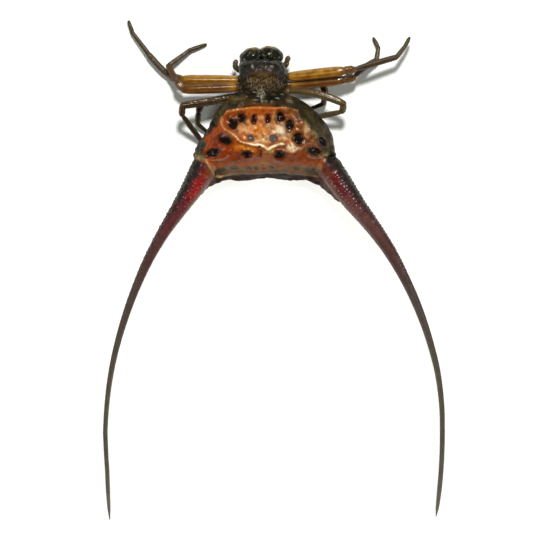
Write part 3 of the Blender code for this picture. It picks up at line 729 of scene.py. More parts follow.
def abdomen_shapes():
    """The cushion with the horns' roots, the webs beside them, the small spines and the waist."""
    shapes = [cushion_shape()]
    for side in HORN_ROUTE:
        shares = np.linspace(HORN_BURIED, 0.022, 24)
        points, radii = horn_run(side, shares)
        shapes.append(tube_shape(points, radii * soft(HORN_ROOT_GIRTH, shares), 40))
        girths = np.interp(np.linspace(0, 1, 30), np.linspace(0, 1, 4), WEB_RADIUS)
        shapes.append(rounded_tube(smooth_line(WEB_ROUTE[side], 30), girths))
    for foot, tip, radius in SMALL_SPINES:
        shapes.append(tube_shape(np.linspace(foot, tip, 10), radius * np.linspace(1, 0.28, 10), 20))
    shapes.append(tube_shape(np.linspace(*PEDICEL, 8), np.full(8, PEDICEL_RADIUS), 24))
    return shapes


def oval_reach(points, oval):
    """How far each point lies from an oval's centre, 1 at its edge."""
    x, y, half_x, half_y, turn = oval[:5]
    c, s = math.cos(math.radians(turn)), math.sin(math.radians(turn))
    dx, dy = points[:, 0] - x, points[:, 1] - y
    return np.hypot((c * dx + s * dy) / half_x, (c * dy - s * dx) / half_y)


def patched(colours, patches, points, share=1.0):
    """Lays soft patches of colour over the ones before."""
    for *oval, colour, strength in patches:
        fade = np.exp(-(oval_reach(points, oval) ** 2.4) * 0.8)
        colours = blend(colours, rgb(colour), strength * fade * share)
    return colours


def abdomen_marks(points, normals):
    """Shares of each landmark at each vertex of the abdomen."""
    plan = points[:, :2]
    x, y = plan.T
    ring, crest, foot = smooth_line(RING, 300), smooth_line(CREST, 90), smooth_line(FIELD_FOOT, 60)
    ring_gap, ring_at = line_distance(plan, ring)
    crest_gap, _ = line_distance(plan, crest)
    foot_gap, _ = line_distance(plan, foot)
    in_field = inside(plan, np.vstack([ring, foot, crest[::-1]]))
    lower = step(178, 200, ring_at)
    return {
        "up": step(0.10, 0.45, normals[:, 2]),
        "fine": ripple(points, 0.24, 22),
        "ring": hill(ring_gap, 0, 0.115),
        "dots": np.cos(ring_at * 2 * math.pi / 6.0 + 1.5 * ripple(points, 1.2, 3)),
        "bar": lower * hill(ring_gap, 0, 0.05 + 0.025 * step(-1.8, -1.0, x)),
        "below_bar": lower * hill(side_of(plan, RING[17:]), -0.15, 0.07),
        "crest": hill(crest_gap, 0, 0.13),
        "field": in_field * step(0.04, 0.45, np.minimum.reduce([ring_gap, crest_gap, foot_gap + 0.1])),
        "rim": near(plan, RIM, 0.08),
        "below_rim": -side_of(plan, RIM[5:]) * (y < 6.9),
        "left_root": step(-0.06, 0.06, -side_of(plan, LEFT_ROOT)) * (x < -2.5) * (y < 7.9),
        "right_root": step(-0.14, 0.14, side_of(plan, RIGHT_ROOT)) * (x > 2.0) * (y < 7.9),
        "folds": np.maximum(*[near(plan, fold, 0.07) for fold in FOLDS]),
    }


def abdomen_relief(points, normals, marks):
    """How far the skin stands out: ring, crest and rim up, pits down, and wrinkled flanks."""
    x, y, z = points.T
    up = marks["up"]
    flank = 1 - up
    beads = 0.84 + 0.16 * step(9.2, 9.9, y) * marks["dots"]
    lift = RELIEF["ring"] * marks["ring"] * (beads - 1)
    for mark, height in RELIEF.items():
        lift += height * marks[mark]
    for pit in PITS:
        reach = oval_reach(points, pit)
        depth = PIT_DEPTHS[pit[-1]]
        lift -= depth * (1 - step(0.55, 1.12, reach))
        lift += 0.30 * depth * hill(reach, 1.36, 0.17)
    lift += 0.030 * ripple(points, 0.8, 4)
    lift *= up
    lift += 0.022 * ripple(points, 0.42, 5) * (0.6 + 0.6 * flank - 0.3 * marks["field"])
    lift += 0.004 * ripple(points, 0.19, 6)
    creases = np.sin(z * 30 + x * 6 + 2.2 * ripple(points, 0.9, 7))
    lift += 0.016 * creases * flank * (normals[:, 2] > -0.6)
    lift += 0.035 * step(10.6, 10.9, y) * up * ripple(points * (1.0, 1.9, 1.0), 0.55, 8)
    return lift


def paint_back(points, warped, marks):
    """Orange and cream, with soft patches, a few of them painted highlights, and streaks and flecks."""
    x, y, _ = warped.T
    fine, field = marks["fine"], marks["field"]
    colours = painted(len(points), (148, 62, 12), (
        ((142, 82, 34), 0.85 * step(-0.6, 1.2, x) * step(7.5, 8.1, y)),
        ((108, 46, 12), step(0.0, 0.9, ripple(points, 0.6, 24))),
    ))
    streak = step(0.2, 0.9, ripple(points * (1.6, 0.7, 1.0), 0.42, 25))
    return overlaid(patched(colours, PATCHES, warped), (
        ((168, 84, 20), 0.40 * streak * field),
        ((84, 38, 12), 0.50 * step(0.2, 0.9, -fine)),
        ((226, 172, 116), 0.35 * step(0.4, 1.0, fine) * field),
    ))


def paint_lines(colours, points, warped, marks):
    """The back's raised lines: the ring with its pale dots of painted highlight, the crest, and the bar, a
    pale painted highlight line with its dark edge.
    """
    x, y, _ = warped.T
    fine, ring = marks["fine"], marks["ring"]
    dotted = 0.5 + 0.5 * marks["dots"]
    beaded = 0.15 + 0.70 * dotted * step(-0.5, 0.7, ripple(points, 0.45, 26))
    plainer = 0.55 * step(9.9, 9.2, y)
    # The ring's pale dots and line are painted highlights along its crest
    pale = ring**5 * (beaded * (1 - plainer) + plainer * (0.55 + 0.3 * np.clip(fine, -1, 1)))
    shoulder = step(0.0, 1.2, x)
    main_part = step(-2.1, -1.3, x)
    broken = (0.4 + 0.6 * step(-0.7, 0.2, ripple(points, 0.5, 27))) * main_part
    broken += 0.4 * dotted * (1 - main_part)
    broken *= step(0.75, 0.35, x)
    return overlaid(colours, (
        ((166, 86, 22), 0.8 * ring * (1 - shoulder)),
        ((112, 68, 30), 0.8 * ring * shoulder),
        ((240, 190, 132), 0.8 * pale * (1 - 0.7 * shoulder)),
        ((156, 112, 68), 0.7 * marks["crest"] * step(-0.7, 0.4, fine) * step(9.9, 9.4, y)),
        ((82, 34, 6), 0.45 * marks["below_bar"]),
        # The bar's near-white line is a painted highlight
        ((255, 238, 200), np.clip(1.1 * marks["bar"] * broken, 0, 1)),
    ))


def dark_share(warped):
    """Share of dark skin, past the edges of the orange in front and on both flanks."""
    x, y, _ = warped.T
    front = step(-0.04, 0.10, y - soft(FRONT_EDGE, x))
    right = step(0.0, 0.24, x - soft(RIGHT_EDGE, y)) * step(6.9, 7.2, y)
    left = step(0.0, 0.18, soft(LEFT_EDGE, y) - x) * step(6.7, 6.95, y)
    return np.maximum.reduce([front, right, left])


def dark_colours(points, warped, marks):
    """The mottled dark skin of the front slope and the flanks."""
    blotches = step(0.2, 0.8, ripple(points * (2.2, 1.0, 0.6), 0.5, 36))
    dark = painted(len(points), (36, 29, 13), (
        ((58, 45, 18), step(-0.2, 1.2, ripple(points, 0.6, 31))),
        ((14, 14, 8), step(-0.3, 1.0, ripple(points, 0.45, 32))),
        ((14, 12, 10), 0.7 * blotches * (warped[:, 0] > 2.2)),
    ))
    return patched(dark, DARK_PATCHES, warped, 0.75 + 0.25 * np.clip(marks["fine"], -1, 1))


def margin_colours(points, warped):
    """The tan and grey skin of the rear margin."""
    x, y, _ = warped.T
    return painted(len(points), (154, 82, 36), (
        ((176, 116, 64), hill(x, -0.7, 0.6)),
        ((120, 92, 62), step(6.78, 6.55, y)),
        ((98, 76, 60), step(6.48, 6.30, y)),
        ((160, 78, 44), 0.5 * step(0.3, 0.9, ripple(points * (0.6, 1.6, 1.0), 0.5, 33))),
        ((80, 74, 52), 0.5 * step(0.2, 0.9, ripple(points, 0.4, 35))),
    ))


def paint_pits(colours, rough, points, marks):
    """The dark and glossier pits, with a brown edge round the black and red ones."""
    for pit in PITS:
        kind = pit[-1]
        reach = oval_reach(points, pit)
        here = (1 - step(0.84, 1.10, reach)) * marks["up"]
        if kind in ("black", "red"):
            colours = blend(colours, rgb((70, 34, 14)), 0.62 * hill(reach, 1.12, 0.26) * marks["up"])
        colours = blend(colours, rgb(PIT_COLOURS[kind]), (0.65 if kind == "faint" else 0.97) * here)
        rough = rough - 0.10 * here
    return colours, rough


def paint_abdomen(points, normals, marks):
    """The back, the dark front and flanks, the rear margin with its pale rim, and the horns' roots."""
    warped = points + 0.07 * np.column_stack([ripple(points, 0.5, seed) for seed in (11, 12, 13)])
    colours = paint_back(points, warped, marks)
    colours = paint_lines(colours, points, warped, marks)
    cover = dark_share(warped)
    colours = blend(colours, dark_colours(points, warped, marks), cover)
    margin = step(7.10, 6.72, warped[:, 1])
    colours = blend(colours, margin_colours(points, warped), 0.9 * margin)

    x, y, _ = points.T
    left_part = step(-2.0, -3.6, x)
    gilt = marks["rim"] ** 1.5 * left_part * (0.75 + 0.25 * np.clip(marks["fine"], -1, 1))
    # The wall under the rear rim and the rear skin that doesn't face up: dark brown, partly the underside's
    # own colour and partly painted shade
    rear = y < 6.9
    wall = np.maximum(step(0.05, 0.11, marks["below_rim"]), (1 - marks["up"]) * rear)
    wall *= step(-4.1, -3.9, x) * rear
    colours = overlaid(colours, (
        ((112, 84, 66), 0.7 * marks["rim"]),
        ((176, 142, 84), 0.85 * gilt),
        # Pale pink along the folds: painted highlight on their lips
        ((206, 150, 110), 0.4 * marks["folds"] ** 2),
        ((46, 24, 14), wall),
    ))
    rough = 0.22 + 0.12 * cover + 0.14 * margin + 0.14 * wall

    tan_share = step(0.35, 0.9, ripple(points, 1.1, 34))
    belly = painted(len(points), (44, 30, 22), (((120, 84, 40), tan_share),))
    colours = blend(colours, belly, step(0.05, -0.35, normals[:, 2]))
    horn, horn_rough = horn_skin(points)
    root = np.maximum(marks["left_root"], marks["right_root"]) * (1 - marks["rim"] * left_part)
    colours = blend(colours, horn, root)
    rough = rough * (1 - root) + horn_rough * root
    colours, rough = paint_pits(colours, rough, 0.5 * (warped + points), marks)
    return colours, np.clip(rough, 0.14, 0.8)


def build_abdomen():
    """One skin over the abdomen and the horns' roots."""
    obj = as_skin("abdomen_skin", abdomen_shapes(), 0.038, 8)
    points, normals = read(obj.data)
    marks = abdomen_marks(points, normals)
    place(obj.data, raised(points, normals, abdomen_relief(points, normals, marks)))
    tint(obj.data, *paint_abdomen(points, normals, marks))
    material = shell_material("abdomen_shell", 0.18, 14000.0, 0.003, shine=0.13)
    return finish(obj, material, ["abdomen"])


# Horns


def horn_run(side, shares):
    """Points and radii of a horn at shares of its length."""
    a, b, c, d = (np.array(control) for control in HORN_ROUTE[side])

    def plan(t):
        t = np.asarray(t, float)[:, None]
        curve = (1 - t) ** 3 * a + 3 * t * (1 - t) ** 2 * b + 3 * t * t * (1 - t) * c + t**3 * d
        return np.where(t < 0, a + 3 * t * (b - a), curve)

    steps = np.linspace(0, 1, 600)
    lengths = lengths_along(plan(steps))
    shares = np.asarray(shares, float)
    t = np.where(shares > 0, np.interp(shares, lengths / lengths[-1], steps), shares)
    radii = soft(HORN_RADIUS[side], shares)
    height = np.maximum(soft(HORN_HEIGHT, shares), radii)
    ahead = plan(t + 0.001) - plan(t - 0.001)
    inward = np.column_stack([-ahead[:, 1], ahead[:, 0]]) * INWARD[side]
    inward /= np.linalg.norm(inward, axis=1)[:, None]
    places = plan(t) + inward * soft(HORN_INWARD[side], shares)[:, None]
    return np.column_stack([places, height]), radii


def horn_places(points):
    """Share of the nearest horn's length at each point, and how far outward and up the point lies."""
    share, outer, upper = np.zeros((3, len(points)))
    best = np.full(len(points), np.inf)
    shares = np.linspace(HORN_BURIED, 1.0, 500)
    for side in HORN_ROUTE:
        centre, radii = horn_run(side, shares)
        _, across, up = frames_along(centre)
        across = across * np.sign(across[:, :1] * -INWARD[side])
        gap, which = line_distance(points, centre)
        offset = (points - centre[which]) / np.maximum(radii[which], 0.05)[:, None]
        nearer = gap < best
        best[nearer] = gap[nearer]
        share[nearer] = shares[which][nearer]
        outer[nearer] = (offset * across[which]).sum(axis=1)[nearer]
        upper[nearer] = (offset * up[which]).sum(axis=1)[nearer]
    return share, outer, upper


def horn_skin(points):
    """Colour and roughness of the horns' skin at any place near them."""
    share, outer, upper = horn_places(points)
    noise, fine = ripple(points, 0.6, 51), ripple(points, 0.22, 52)
    on_left = points[:, :1] < 0
    reds = np.where(on_left, rgb((138, 28, 20)), rgb((92, 26, 26)))
    wines = np.where(on_left, rgb((88, 40, 44)), rgb((98, 64, 60)))
    reach = share + 0.01 * noise
    near_root = step(0.22, 0.08, share)
    black = step(0.10, 0.62, outer + 0.16 * noise + 0.10 * fine) * near_root
    colours = overlaid(blend(reds, wines, step(0.04, 0.13, reach)), (
        ((78, 50, 48), step(0.13, 0.26, share)),
        ((72, 60, 56), step(0.26, 0.42, share)),
        ((74, 66, 54), step(0.42, 0.62, share)),
        ((91, 86, 78), step(0.80, 1.0, share)),
        ((96, 54, 22), 0.8 * step(0.024, -0.008, reach) * step(0.2, -0.4, outer)),
        ((62, 46, 42), 0.85 * step(0.012, -0.012, reach) * step(-0.3, 0.1, outer)),
        ((74, 12, 26), 0.6 * step(-0.1, 0.9, noise) * near_root),
        ((66, 26, 34), 0.8 * step(-0.15, 0.25, outer + 0.10 * fine) * near_root),
        ((22, 21, 17), 0.95 * black),
        ((58, 52, 34), 0.6 * step(0.72, 0.95, outer + 0.15 * fine) * near_root),
        ((48, 32, 26), 0.6 * step(0.2, 0.8, outer) * step(0.08, 0.2, share)),
        # The inner flank's pinkish grey is partly the horn's own colour and partly painted shade; the
        # grey-brown beyond it, over the web, is painted shade
        ((118, 84, 76), 0.75 * step(-0.50, -0.85, outer) * step(0.3, 0.1, share)),
        ((62, 50, 46), 0.85 * step(-0.92, -1.15, outer)),
        # Grey-brown on the horn's lower half: painted shade
        ((58, 46, 44), 0.7 * step(-0.1, -0.8, upper)),
    ))
    rough = 0.24 + 0.12 * step(0.2, 0.6, share) + 0.16 * black + 0.14 * step(0.02, -0.01, share)
    return colours, rough


def horn_grains(side, along, turns, radii, outer):
    """Heights of the teeth and grains over a horn's grid of rows and turns."""
    grains = np.zeros((len(along), len(turns)))
    draw = np.random.default_rng(41 if side == "l" else 42)

    def raise_grain(at, turn, height, width):
        low, high = np.searchsorted(along, (at - 2 * width, at + 2 * width))
        radius = np.interp(at, along, radii)
        around = np.abs((turns - turn + math.pi) % (2 * math.pi) - math.pi) * radius
        gap = np.hypot(along[low:high, None] - at, around[None]) / width
        grains[low:high] = np.maximum(grains[low:high], height * np.clip(1 - gap, 0, 1) ** 1.2)

    at, row = -0.6, 0
    while at < TOOTHED_LENGTH:
        radius = float(np.interp(at, along, radii))
        count = max(4, int(2 * math.pi * radius / TOOTH_SPACING))
        for i in range(count):
            turn = (i + 0.5 * (row % 2)) * 2 * math.pi / count + draw.normal(0, 0.12)
            turn %= 2 * math.pi
            outward = max(0.0, float(np.interp(turn, turns, outer)))
            height = (0.026 + 0.034 * outward) * float(step(TOOTHED_LENGTH, 2.0, at))
            height *= draw.uniform(0.7, 1.2)
            raise_grain(at + draw.normal(0, 0.03), turn, height, TOOTH_WIDTH)
        at += TOOTH_ROW_GAP
        row += 1
    for _ in range(GRAIN_COUNT):
        at = draw.uniform(0, 1) ** 1.5 * 20 - 0.5
        raise_grain(at, draw.uniform(0, 2 * math.pi), 0.012 * draw.uniform(0.5, 1.3), GRAIN_WIDTH)
    return grains


def build_horn(side, material):
    """A horn, toothed near its root, with its colours running from crimson to dull olive."""
    shares = HORN_START + (1 - HORN_START) * np.linspace(0, 1, 820) ** 1.35
    turns = full_turn(84)
    centre, radii = horn_run(side, shares)
    _, across, up = frames_along(centre)
    outer = np.cos(turns) * np.sign(across[:, 0].mean() * -INWARD[side])
    grains = horn_grains(side, shares * HORN_LENGTH, turns, radii, outer)
    flutes = 0.02 * np.cos(5 * turns)[None] * step(0.02, 0.2, shares)[:, None]
    reach = radii[:, None] * (1 + flutes) + grains * np.minimum(1, radii / 0.3)[:, None]
    reach *= 1 - 0.15 * step(0.012, -0.015, shares)[:, None]
    points = circles(centre, across, up, turns, reach)
    points[..., 2] = np.maximum(points[..., 2], 0.0)
    obj = make_object("horn_" + side, ring_shape(points))
    tint(obj.data, *horn_skin(points.reshape(-1, 3)))
    return finish(obj, material, ["median_spine_" + side])


# Front body


def section_ring(x, y, half, top, low, sides):
    """One cross section of the front body, squarish and narrower below."""
    turns = full_turn(sides)
    c, s = np.cos(turns), np.sin(turns)
    narrow = np.where(s > 0, 1.0, 1 - 0.12 * np.abs(s))
    return np.column_stack([
        x + half * np.sign(c) * np.abs(c) ** 0.85 * narrow,
        np.full(sides, y),
        0.5 * (top + low) + 0.5 * (top - low) * np.sign(s) * np.abs(s) ** 0.85,
    ])


def prosoma_shapes():
    """The front body's plain form with a mound under each eye."""
    table = PROSOMA[::-1]
    stations = np.linspace(table[0][0], table[-1][0], 70)
    columns = [soft([(row[0], row[i]) for row in table], stations) for i in range(1, 5)]
    rings = [section_ring(x, y, half, top, low, 72) for y, x, half, top, low in zip(stations, *columns)]
    mounds = [
        ball_shape((x, y - 0.09, z - 0.07), (radius * 1.25,) * 3, 12, 16)
        for x, y, z, radius in EYES
    ]
    return [ring_shape(rings)] + mounds


def prosoma_relief(points, normals):
    """Swellings behind the eyes, a pit and a groove behind the head, and fine wrinkles."""
    x, y, _ = points.T
    middle = x - PROSOMA_MIDDLE
    lift = 0.05 * hill(np.abs(middle), 0.75, 0.4) * step(12.0, 12.8, y)
    lift -= 0.06 * hill(middle, 0, 0.22) * hill(y, 12.1, 0.5)
    lift -= 0.05 * hill(y - 0.35 * np.abs(middle), 12.25, 0.14)
    lift += 0.020 * ripple(points, 0.38, 61) + 0.005 * ripple(points, 0.15, 62)
    lift += 0.022 * step(12.9, 12.2, y) * ripple(points * (1.8, 0.8, 1.0), 0.34, 64)
    return lift * (0.4 + 0.6 * step(-0.2, 0.3, normals[:, 2]))


def paint_prosoma(points, normals):
    """Black with a brown rear, a golden arch across it, and pale streaks below that."""
    x, y, _ = points.T
    middle = x - PROSOMA_MIDDLE
    noise, streaks = ripple(points, 0.5, 63), ripple(points * (2.4, 0.7, 1.0), 0.32, 65)
    upper = step(0.1, 0.6, normals[:, 2])
    brown = hill(middle, 0, 1.02, 3) * step(13.32, 12.95, y + 0.1 * noise) * upper
    arch = y + 0.25 * middle**2 + 0.06 * noise
    gold = hill(middle, 0, 0.95, 3) * hill(arch, 12.46, 0.22) * upper
    return painted(len(points), (20, 19, 14), (
        ((18, 28, 28), 0.8 * step(-1.9, -2.2, x)),
        ((66, 66, 50), 0.7 * step(0.0, 0.9, noise) * step(13.15, 13.35, y)),
        ((48, 33, 22), 0.9 * brown),
        ((92, 70, 37), 0.95 * gold),
        ((130, 106, 74), 0.85 * step(-0.8, 0.4, streaks) * step(12.40, 12.10, y) * brown),
        ((44, 32, 20), 0.45 * step(0.3, 1.0, -streaks) * step(12.9, 12.2, y)),
        ((48, 34, 22), 0.7 * step(0.1, -0.4, normals[:, 2])),
    ))


def build_prosoma():
    """The head and chest in one shell, with a raised head and a steep fall behind it."""
    obj = as_skin("prosoma_shell", prosoma_shapes(), 0.04, 5)
    points, normals = read(obj.data)
    place(obj.data, raised(points, normals, prosoma_relief(points, normals)))
    tint(obj.data, paint_prosoma(points, normals), 0.28 + 0.14 * step(13.3, 12.9, points[:, 1]))
    material = shell_material("prosoma_shell", 0.25, 12000.0, 0.006, shine=0.17)
    return finish(obj, material, ["prosoma"])


def build_eyes():
    """Eight dark glassy eyes."""
    shapes = [ball_shape((x, y, z), (radius,) * 3, 20, 28) for x, y, z, radius in EYES]
    obj = make_object("eyes", joined(shapes))
    tint(obj.data, painted(len(obj.data.vertices), (12, 9, 8)), 0.06)
    return finish(obj, shell_material("eye_lens", 0.05, 5000.0, 0.001, coat=0.5))


def chelicera_shape(side):
    """A bulging block, leaning inward in front and pressed flat against its neighbour."""
    centre, half = CHELICERA_HUB[side], CHELICERA_HALF[side]
    seam, inward = CHELICERA_SEAM[side], INWARD[side]
    points, faces = ball_shape((0, 0, 0), (1, 1, 1), 60, 96)
    points[:, 2] = np.sign(points[:, 2]) * np.abs(points[:, 2]) ** 0.65
    height = points[:, 2]
    girth = soft(CHELICERA_GIRTH, height)
    shaped = points * half * np.column_stack([girth, girth, np.ones(len(points))]) + centre
    shaped[:, 0] += inward * CHELICERA_LEAN[side] * points[:, 1]
    shaped[:, 0] = seam - inward * 0.05 * np.logaddexp(0, inward * (seam - shaped[:, 0]) / 0.05)
    return (shaped, faces), height


def build_chelicera(side, material):
    """The base that carries a fang, black with an olive front."""
    shape, height = chelicera_shape(side)
    obj = make_object("chelicera_" + side + "_base", shape)
    points, normals = read(obj.data)
    lift = 0.022 * ripple(points, 0.42, 71) + 0.006 * ripple(points, 0.17, 72)
    place(obj.data, raised(points, normals, lift))
    forward = (points[:, 1] - CHELICERA_HUB[side][1]) / CHELICERA_HALF[side][1]
    colours = painted(len(points), (20, 20, 16), (
        ((52, 48, 22), 0.8 * step(-0.2, 0.9, ripple(points, 0.3, 73))),
        ((120, 106, 40), 0.85 * step(0.66, 0.95, forward)),
        ((54, 36, 24), 0.7 * step(-0.3, -0.8, height)),
    ))
    tint(obj.data, colours, 0.20)
    return finish(obj, material, ["chelicera_" + side])


def build_fang(side, material):
    """A fang, folded inward under its base."""
    inward = INWARD[side]
    route = [np.array(CHELICERA_HUB[side]) + (inward * x, y, z) for x, y, z in FANG_ROUTE]
    girths = soft(FANG_GIRTH, np.linspace(0, 1, 24))
    obj = make_object("fang_" + side, tube_shape(smooth_line(route, 24), girths, 24))
    tint(obj.data, painted(len(obj.data.vertices), (60, 26, 14)), 0.18)
    return finish(obj, material)


def build_spinnerets():
    """Six small cones on a low ring, down to the surface."""
    x, y = SPINNERET_HUB
    shapes = [tube_shape(np.linspace((x, y, 0.95), (x, y, 0.30), 14), np.linspace(0.66, 0.50, 14), 40)]
    for i in range(6):
        turn = math.radians(30 + 60 * i)
        foot = np.array((x + 0.30 * math.cos(turn), y + 0.30 * math.sin(turn), 0.0))
        line = np.linspace(foot + (0, 0, 0.55), foot, 12)
        shapes.append(tube_shape(line, soft(SPINNERET_GIRTH, np.linspace(0, 1, 12)), 24))
    obj = as_skin("spinneret_cones", shapes, 0.03, 4)
    points, normals = read(obj.data)
    lift = 0.012 * np.sin(points[:, 2] * 60) * (1 - np.abs(normals[:, 2]))
    place(obj.data, raised(points, normals, lift))
    tips = step(0.25, 0.05, points[:, 2])
    tint(obj.data, painted(len(points), (52, 36, 26), (((88, 60, 40), tips),)), 0.5)
    material = shell_material("spinneret_skin", 0.2, 12000.0, 0.015)
    return finish(obj, material, ["spinnerets"])


# Legs and palps


def limb_segments(name, joints, kind):
    """For each segment, the points of its middle line and its radius at each."""
    joints = np.array(joints, float)
    shares = np.linspace(0, 1, 26)
    segments = []
    for index, (start, end) in enumerate(zip(joints, joints[1:])):
        shape = SEGMENT_SHAPES[index if kind != "palp" else (1, 2, 2)[index]]
        bow = np.array(BOWED.get(name, {}).get(index, (0, 0, 0)), float)
        line = start + (end - start) * shares[:, None] + bow * (4 * shares * (1 - shares))[:, None]
        segments.append((line, LIMB_RADII[kind][index] * soft(shape, shares)))
    return segments


def limb_places(points, segments):
    """The nearest segment at each point, the share of its length there, and the turn about it."""
    which = np.zeros(len(points), int)
    share, turn = np.zeros((2, len(points)))
    best = np.full(len(points), np.inf)
    for index, (line, radii) in enumerate(segments):
        gap, nearest = line_distance(points, line)
        gap = gap / radii[nearest]
        _, side, up = frames_along(line)
        offset = points - line[nearest]
        angle = np.arctan2((offset * up[nearest]).sum(axis=1), (offset * side[nearest]).sum(axis=1))
        nearer = gap < best
        best[nearer] = gap[nearer]
        which[nearer] = index
        share[nearer] = (nearest / (len(line) - 1))[nearer]
        turn[nearer] = angle[nearer]
    return which, share, turn


def build_limb(name, joints, kind, dress, material):
    """A leg or palp in one skin, with grooves along its segments and darker joints."""
    segments = limb_segments(name, joints, kind)
    obj = as_skin(name + "_shell", [rounded_tube(line, radii) for line, radii in segments], 0.030, 3)
    points, normals = read(obj.data)
    which, share, turn = limb_places(points, segments)
    seed = 80 + sum(ord(letter) for letter in name) % 50
    grooved = step(0.0, 0.15, share) * step(1.0, 0.85, share)
    flutes = np.cos(np.array(GROOVE_COUNTS)[which] * turn + 0.8)
    lift = np.array(GROOVE_DEPTHS)[which] * flutes * grooved + 0.003 * ripple(points, 0.20, seed)
    place(obj.data, raised(points, normals, lift))

    pairs = rgb(np.array(SEGMENT_COLOURS[dress]))
    # More of the groove colour down in the grooves, as painted shade, and more or less at random
    shade = np.clip(0.45 - 0.28 * flutes * grooved + 0.25 * ripple(points, 0.5, seed + 1), 0, 1)
    colours = blend(pairs[which, 0], pairs[which, 1], shade)
    ends = 1 - step(0.0, 0.08, share) * step(1.0, 0.94, share)
    thigh = (which == 1) * (dress in ("first", "second"))
    # A paler grey tone over the right fourth leg
    grey_cast = 0.4 * (name == "leg_4_r")
    colours = overlaid(colours, (
        # Orange-brown on the first two legs' thighs on the side turned from the light: painted shade
        ((120, 62, 10), 0.45 * thigh * step(0.1, -0.6, normals[:, 1])),
        ((176, 128, 44), 0.6 * thigh * step(0.30, 0.0, share)),
        ((108, 92, 58), grey_cast),
        ((66, 38, 14), 0.5 * ends * (which > 0)),
    ))
    tint(obj.data, colours, 0.19 + 0.20 * (which > 2) + 0.12 * ends)
    return finish(obj, material, [name])


# Hairs


def unwrap(points):
    """A round map of the roots about their middle, for where each hair's patch goes."""
    x, y, z = (points - points.mean(axis=0)).T
    turn = np.arctan2(y, x) / (2 * math.pi) + 0.5
    lift = np.arctan2(z, np.hypot(x, y)) / math.pi + 0.5
    return np.column_stack([turn, lift]) * 0.99


def hair_shape(root, normal, way, length, radius):
    """One thin bent cone with three sides, rooted just under the skin."""
    bend = HAIR_LEVELS[:, None] * normal * 0.55 + (HAIR_LEVELS**1.6)[:, None] * way * 0.8
    line = root - 0.02 * normal + length * bend
    _, side, up = frames_along(line)
    return ring_shape(circles(line, side, up, full_turn(3), (radius * HAIR_GIRTHS)[:, None]))


def hair_object(name, roots, normals, lie, lengths, radius, material):
    """Hairs joined in one piece, each with a small patch of its own in the map."""
    shapes = [hair_shape(*hair, radius) for hair in zip(roots, normals, lie, lengths)]
    obj = make_object(name, joined(shapes))
    corners = []
    for (u, v), (_, faces) in zip(unwrap(roots), shapes):
        for face in faces:
            for i in range(len(face)):
                corners.append((u + HAIR_PATCH * (i in (1, 2)), v + HAIR_PATCH * (i > 1)))
    layer = obj.data.uv_layers.new(name="OFBake")
    layer.data.foreach_set("uv", np.array(corners, np.float32).ravel())
    return finish(obj, material)


def hair_on(obj, name, keep, count, seed, way, lengths, radius, material):
    """Roots hairs at random on the kept part of a piece, lying the given way."""
    points, normals = read(obj.data)
    points = points / MM + MIDDLE
    draw = np.random.default_rng(seed)
    chosen = draw.choice(np.flatnonzero(keep(points, normals)), count, replace=False)
    lie = np.tile(way, (count, 1)) + draw.normal(0, HAIR_SPREAD, (count, 3))
    lengths = draw.uniform(*lengths, count)
    hair_object(name, points[chosen], normals[chosen], lie, lengths, radius, material)


def on_head(points, normals):
    return (normals[:, 2] > 0.0) & (points[:, 1] < 12.5)


def on_shoulder(points, normals):
    """An uneven tuft in the middle of the front slope."""
    reach = np.hypot((points[:, 0] + 0.82) / 0.30, (points[:, 1] - 11.30) / 0.42)
    return (reach + 0.35 * ripple(points, 0.3, 94) < 0.9) & (normals[:, 2] > 0.0)


def off_the_ground(points, normals):
    return points[:, 2] > 0.12


def dress_in_hair(prosoma, abdomen, limbs):
    """Dull down behind the head, a pale tuft on the shoulder, and fine hairs on the legs and palps."""
    pale = hair_material("pale_hair", (184, 184, 166))
    dull = hair_material("dull_hair", (190, 168, 128))
    brown = hair_material("brown_hair", (66, 50, 30))
    hair_on(prosoma, "head_hair", on_head, 130, 91, (0, -0.9, 0), (0.12, 0.26), 0.006, dull)
    way = (0, 0.7, 0.1)
    hair_on(abdomen, "shoulder_hair", on_shoulder, 170, 92, way, (0.10, 0.26), 0.007, pale)
    for name, (obj, slot) in limbs.items():
        joints = {**LEG_JOINTS, **PALP_JOINTS}[name]
        way = np.subtract(joints[-1], joints[1])
        way /= np.linalg.norm(way)
        hair_on(obj, name + "_hair", off_the_ground, 70, 93, way, (0.08, 0.18), 0.006, brown)


# Stage


def build_floor():
    """A sheet of pale paper."""
    bpy.ops.mesh.primitive_plane_add(size=4.0)
    floor = bpy.context.object
    floor.name = "floor"
    material, _, shader = new_material("floor_paper")
    shader.inputs["Base Color"].default_value = FLOOR_COLOUR
    shader.inputs["Roughness"].default_value = 0.9
    shader.inputs["Specular IOR Level"].default_value = 0.1
    floor.data.materials.append(material)


def build_room():
    """Even light from all round, and plain colours in the picture."""
    world = bpy.data.worlds.new("room")
    bpy.context.scene.world = world
    world.use_nodes = True
    background = world.node_tree.nodes["Background"]
    background.inputs["Color"].default_value = ROOM_COLOUR
    background.inputs["Strength"].default_value = ROOM_STRENGTH
    view = bpy.context.scene.view_settings
    view.view_transform = "Standard"
    view.look = "None"


def add_light(name, centre, size, watts, colour, shaded_by=None):
    """A round soft light; where shaded_by is given, only those pieces cast its shadows."""
    data = bpy.data.lights.new(name, "AREA")
    data.shape = "DISK"
    data.size = size * MM
    data.energy = watts
    data.color = colour
    light = bpy.data.objects.new(name, data)
    light.location = Vector(centre) * MM
    light.rotation_euler = (Vector(LIT_POINT) * MM - light.location).to_track_quat("-Z", "Y").to_euler()
    bpy.context.scene.collection.objects.link(light)
    if shaded_by:
        blockers = bpy.data.collections.new(name + "_shadows")
        for piece in shaded_by:
            blockers.objects.link(piece)
        light.light_linking.blocker_collection = blockers


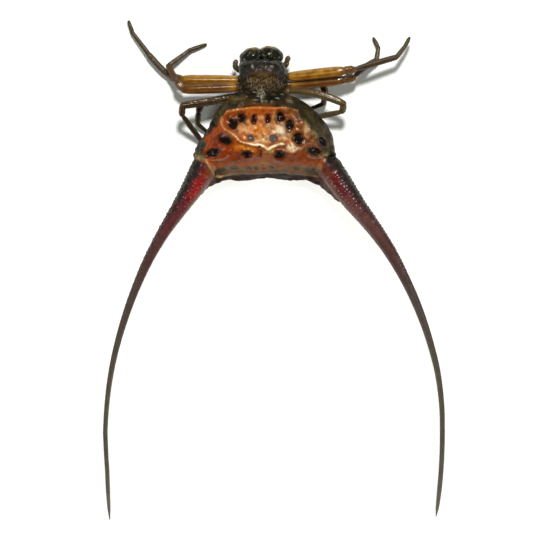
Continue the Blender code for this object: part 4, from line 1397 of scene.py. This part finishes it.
def build_lights(casters):
    """A key light high before the head, and a fill from either side."""
    # Most of the key light is let past the low abdomen and horns, so that no shadow edges them
    add_light("key", KEY_PLACE, KEY_SIZE, KEY_POWER, KEY_COLOUR, casters)
    add_light("key_rest", KEY_PLACE, KEY_SIZE, KEY_REST_POWER, KEY_COLOUR)
    for name, centre in FILL_PLACES.items():
        add_light(name, centre, FILL_SIZE, FILL_POWER, FILL_COLOUR)


def build_camera():
    """A long lens straight above, with the photo's framing."""
    data = bpy.data.cameras.new("camera")
    data.sensor_width = 36.0
    data.lens = data.sensor_width * VIEW_HEIGHT / VIEW_WIDTH
    data.clip_start = 0.01
    data.clip_end = 20.0
    camera = bpy.data.objects.new("camera", data)
    x, y = (np.array(VIEW_CENTRE) - MIDDLE[:2]) * MM
    camera.location = (x, y, VIEW_HEIGHT * MM)
    bpy.context.scene.collection.objects.link(camera)
    bpy.context.scene.camera = camera


def build_limbs():
    """The eight legs and the two palps, each with its slot, by name."""
    material = shell_material("leg_shell", 0.12, 12000.0, 0.003, shine=0.25)
    limbs = {}
    for name, joints in LEG_JOINTS.items():
        kind = "front" if name[4] in "12" else "rear"
        dress = {"1": "first", "2": "second"}.get(name[4], "rear")
        limbs[name] = (build_limb(name, joints, kind, dress, material), "legs")
    for name, joints in PALP_JOINTS.items():
        limbs[name] = (build_limb(name, joints, "palp", "palp", material), "palps")
    return limbs


def main():
    build_camera()
    build_floor()
    build_room()
    abdomen = build_abdomen()
    horn_shell = shell_material("horn_shell", 0.22, 9000.0, 0.010, shine=0.24)
    for side in HORN_ROUTE:
        build_horn(side, horn_shell)
    prosoma = build_prosoma()
    casters = [prosoma, build_eyes()]
    polished = shell_material("chelicera_shell", 0.15, 11000.0, 0.006, shine=0.28)
    for side in CHELICERA_HUB:
        build_chelicera(side, polished)
        casters.append(build_fang(side, polished))
    build_spinnerets()
    limbs = build_limbs()
    casters += [obj for obj, _ in limbs.values()]
    dress_in_hair(prosoma, abdomen, limbs)
    build_lights(casters)


main()
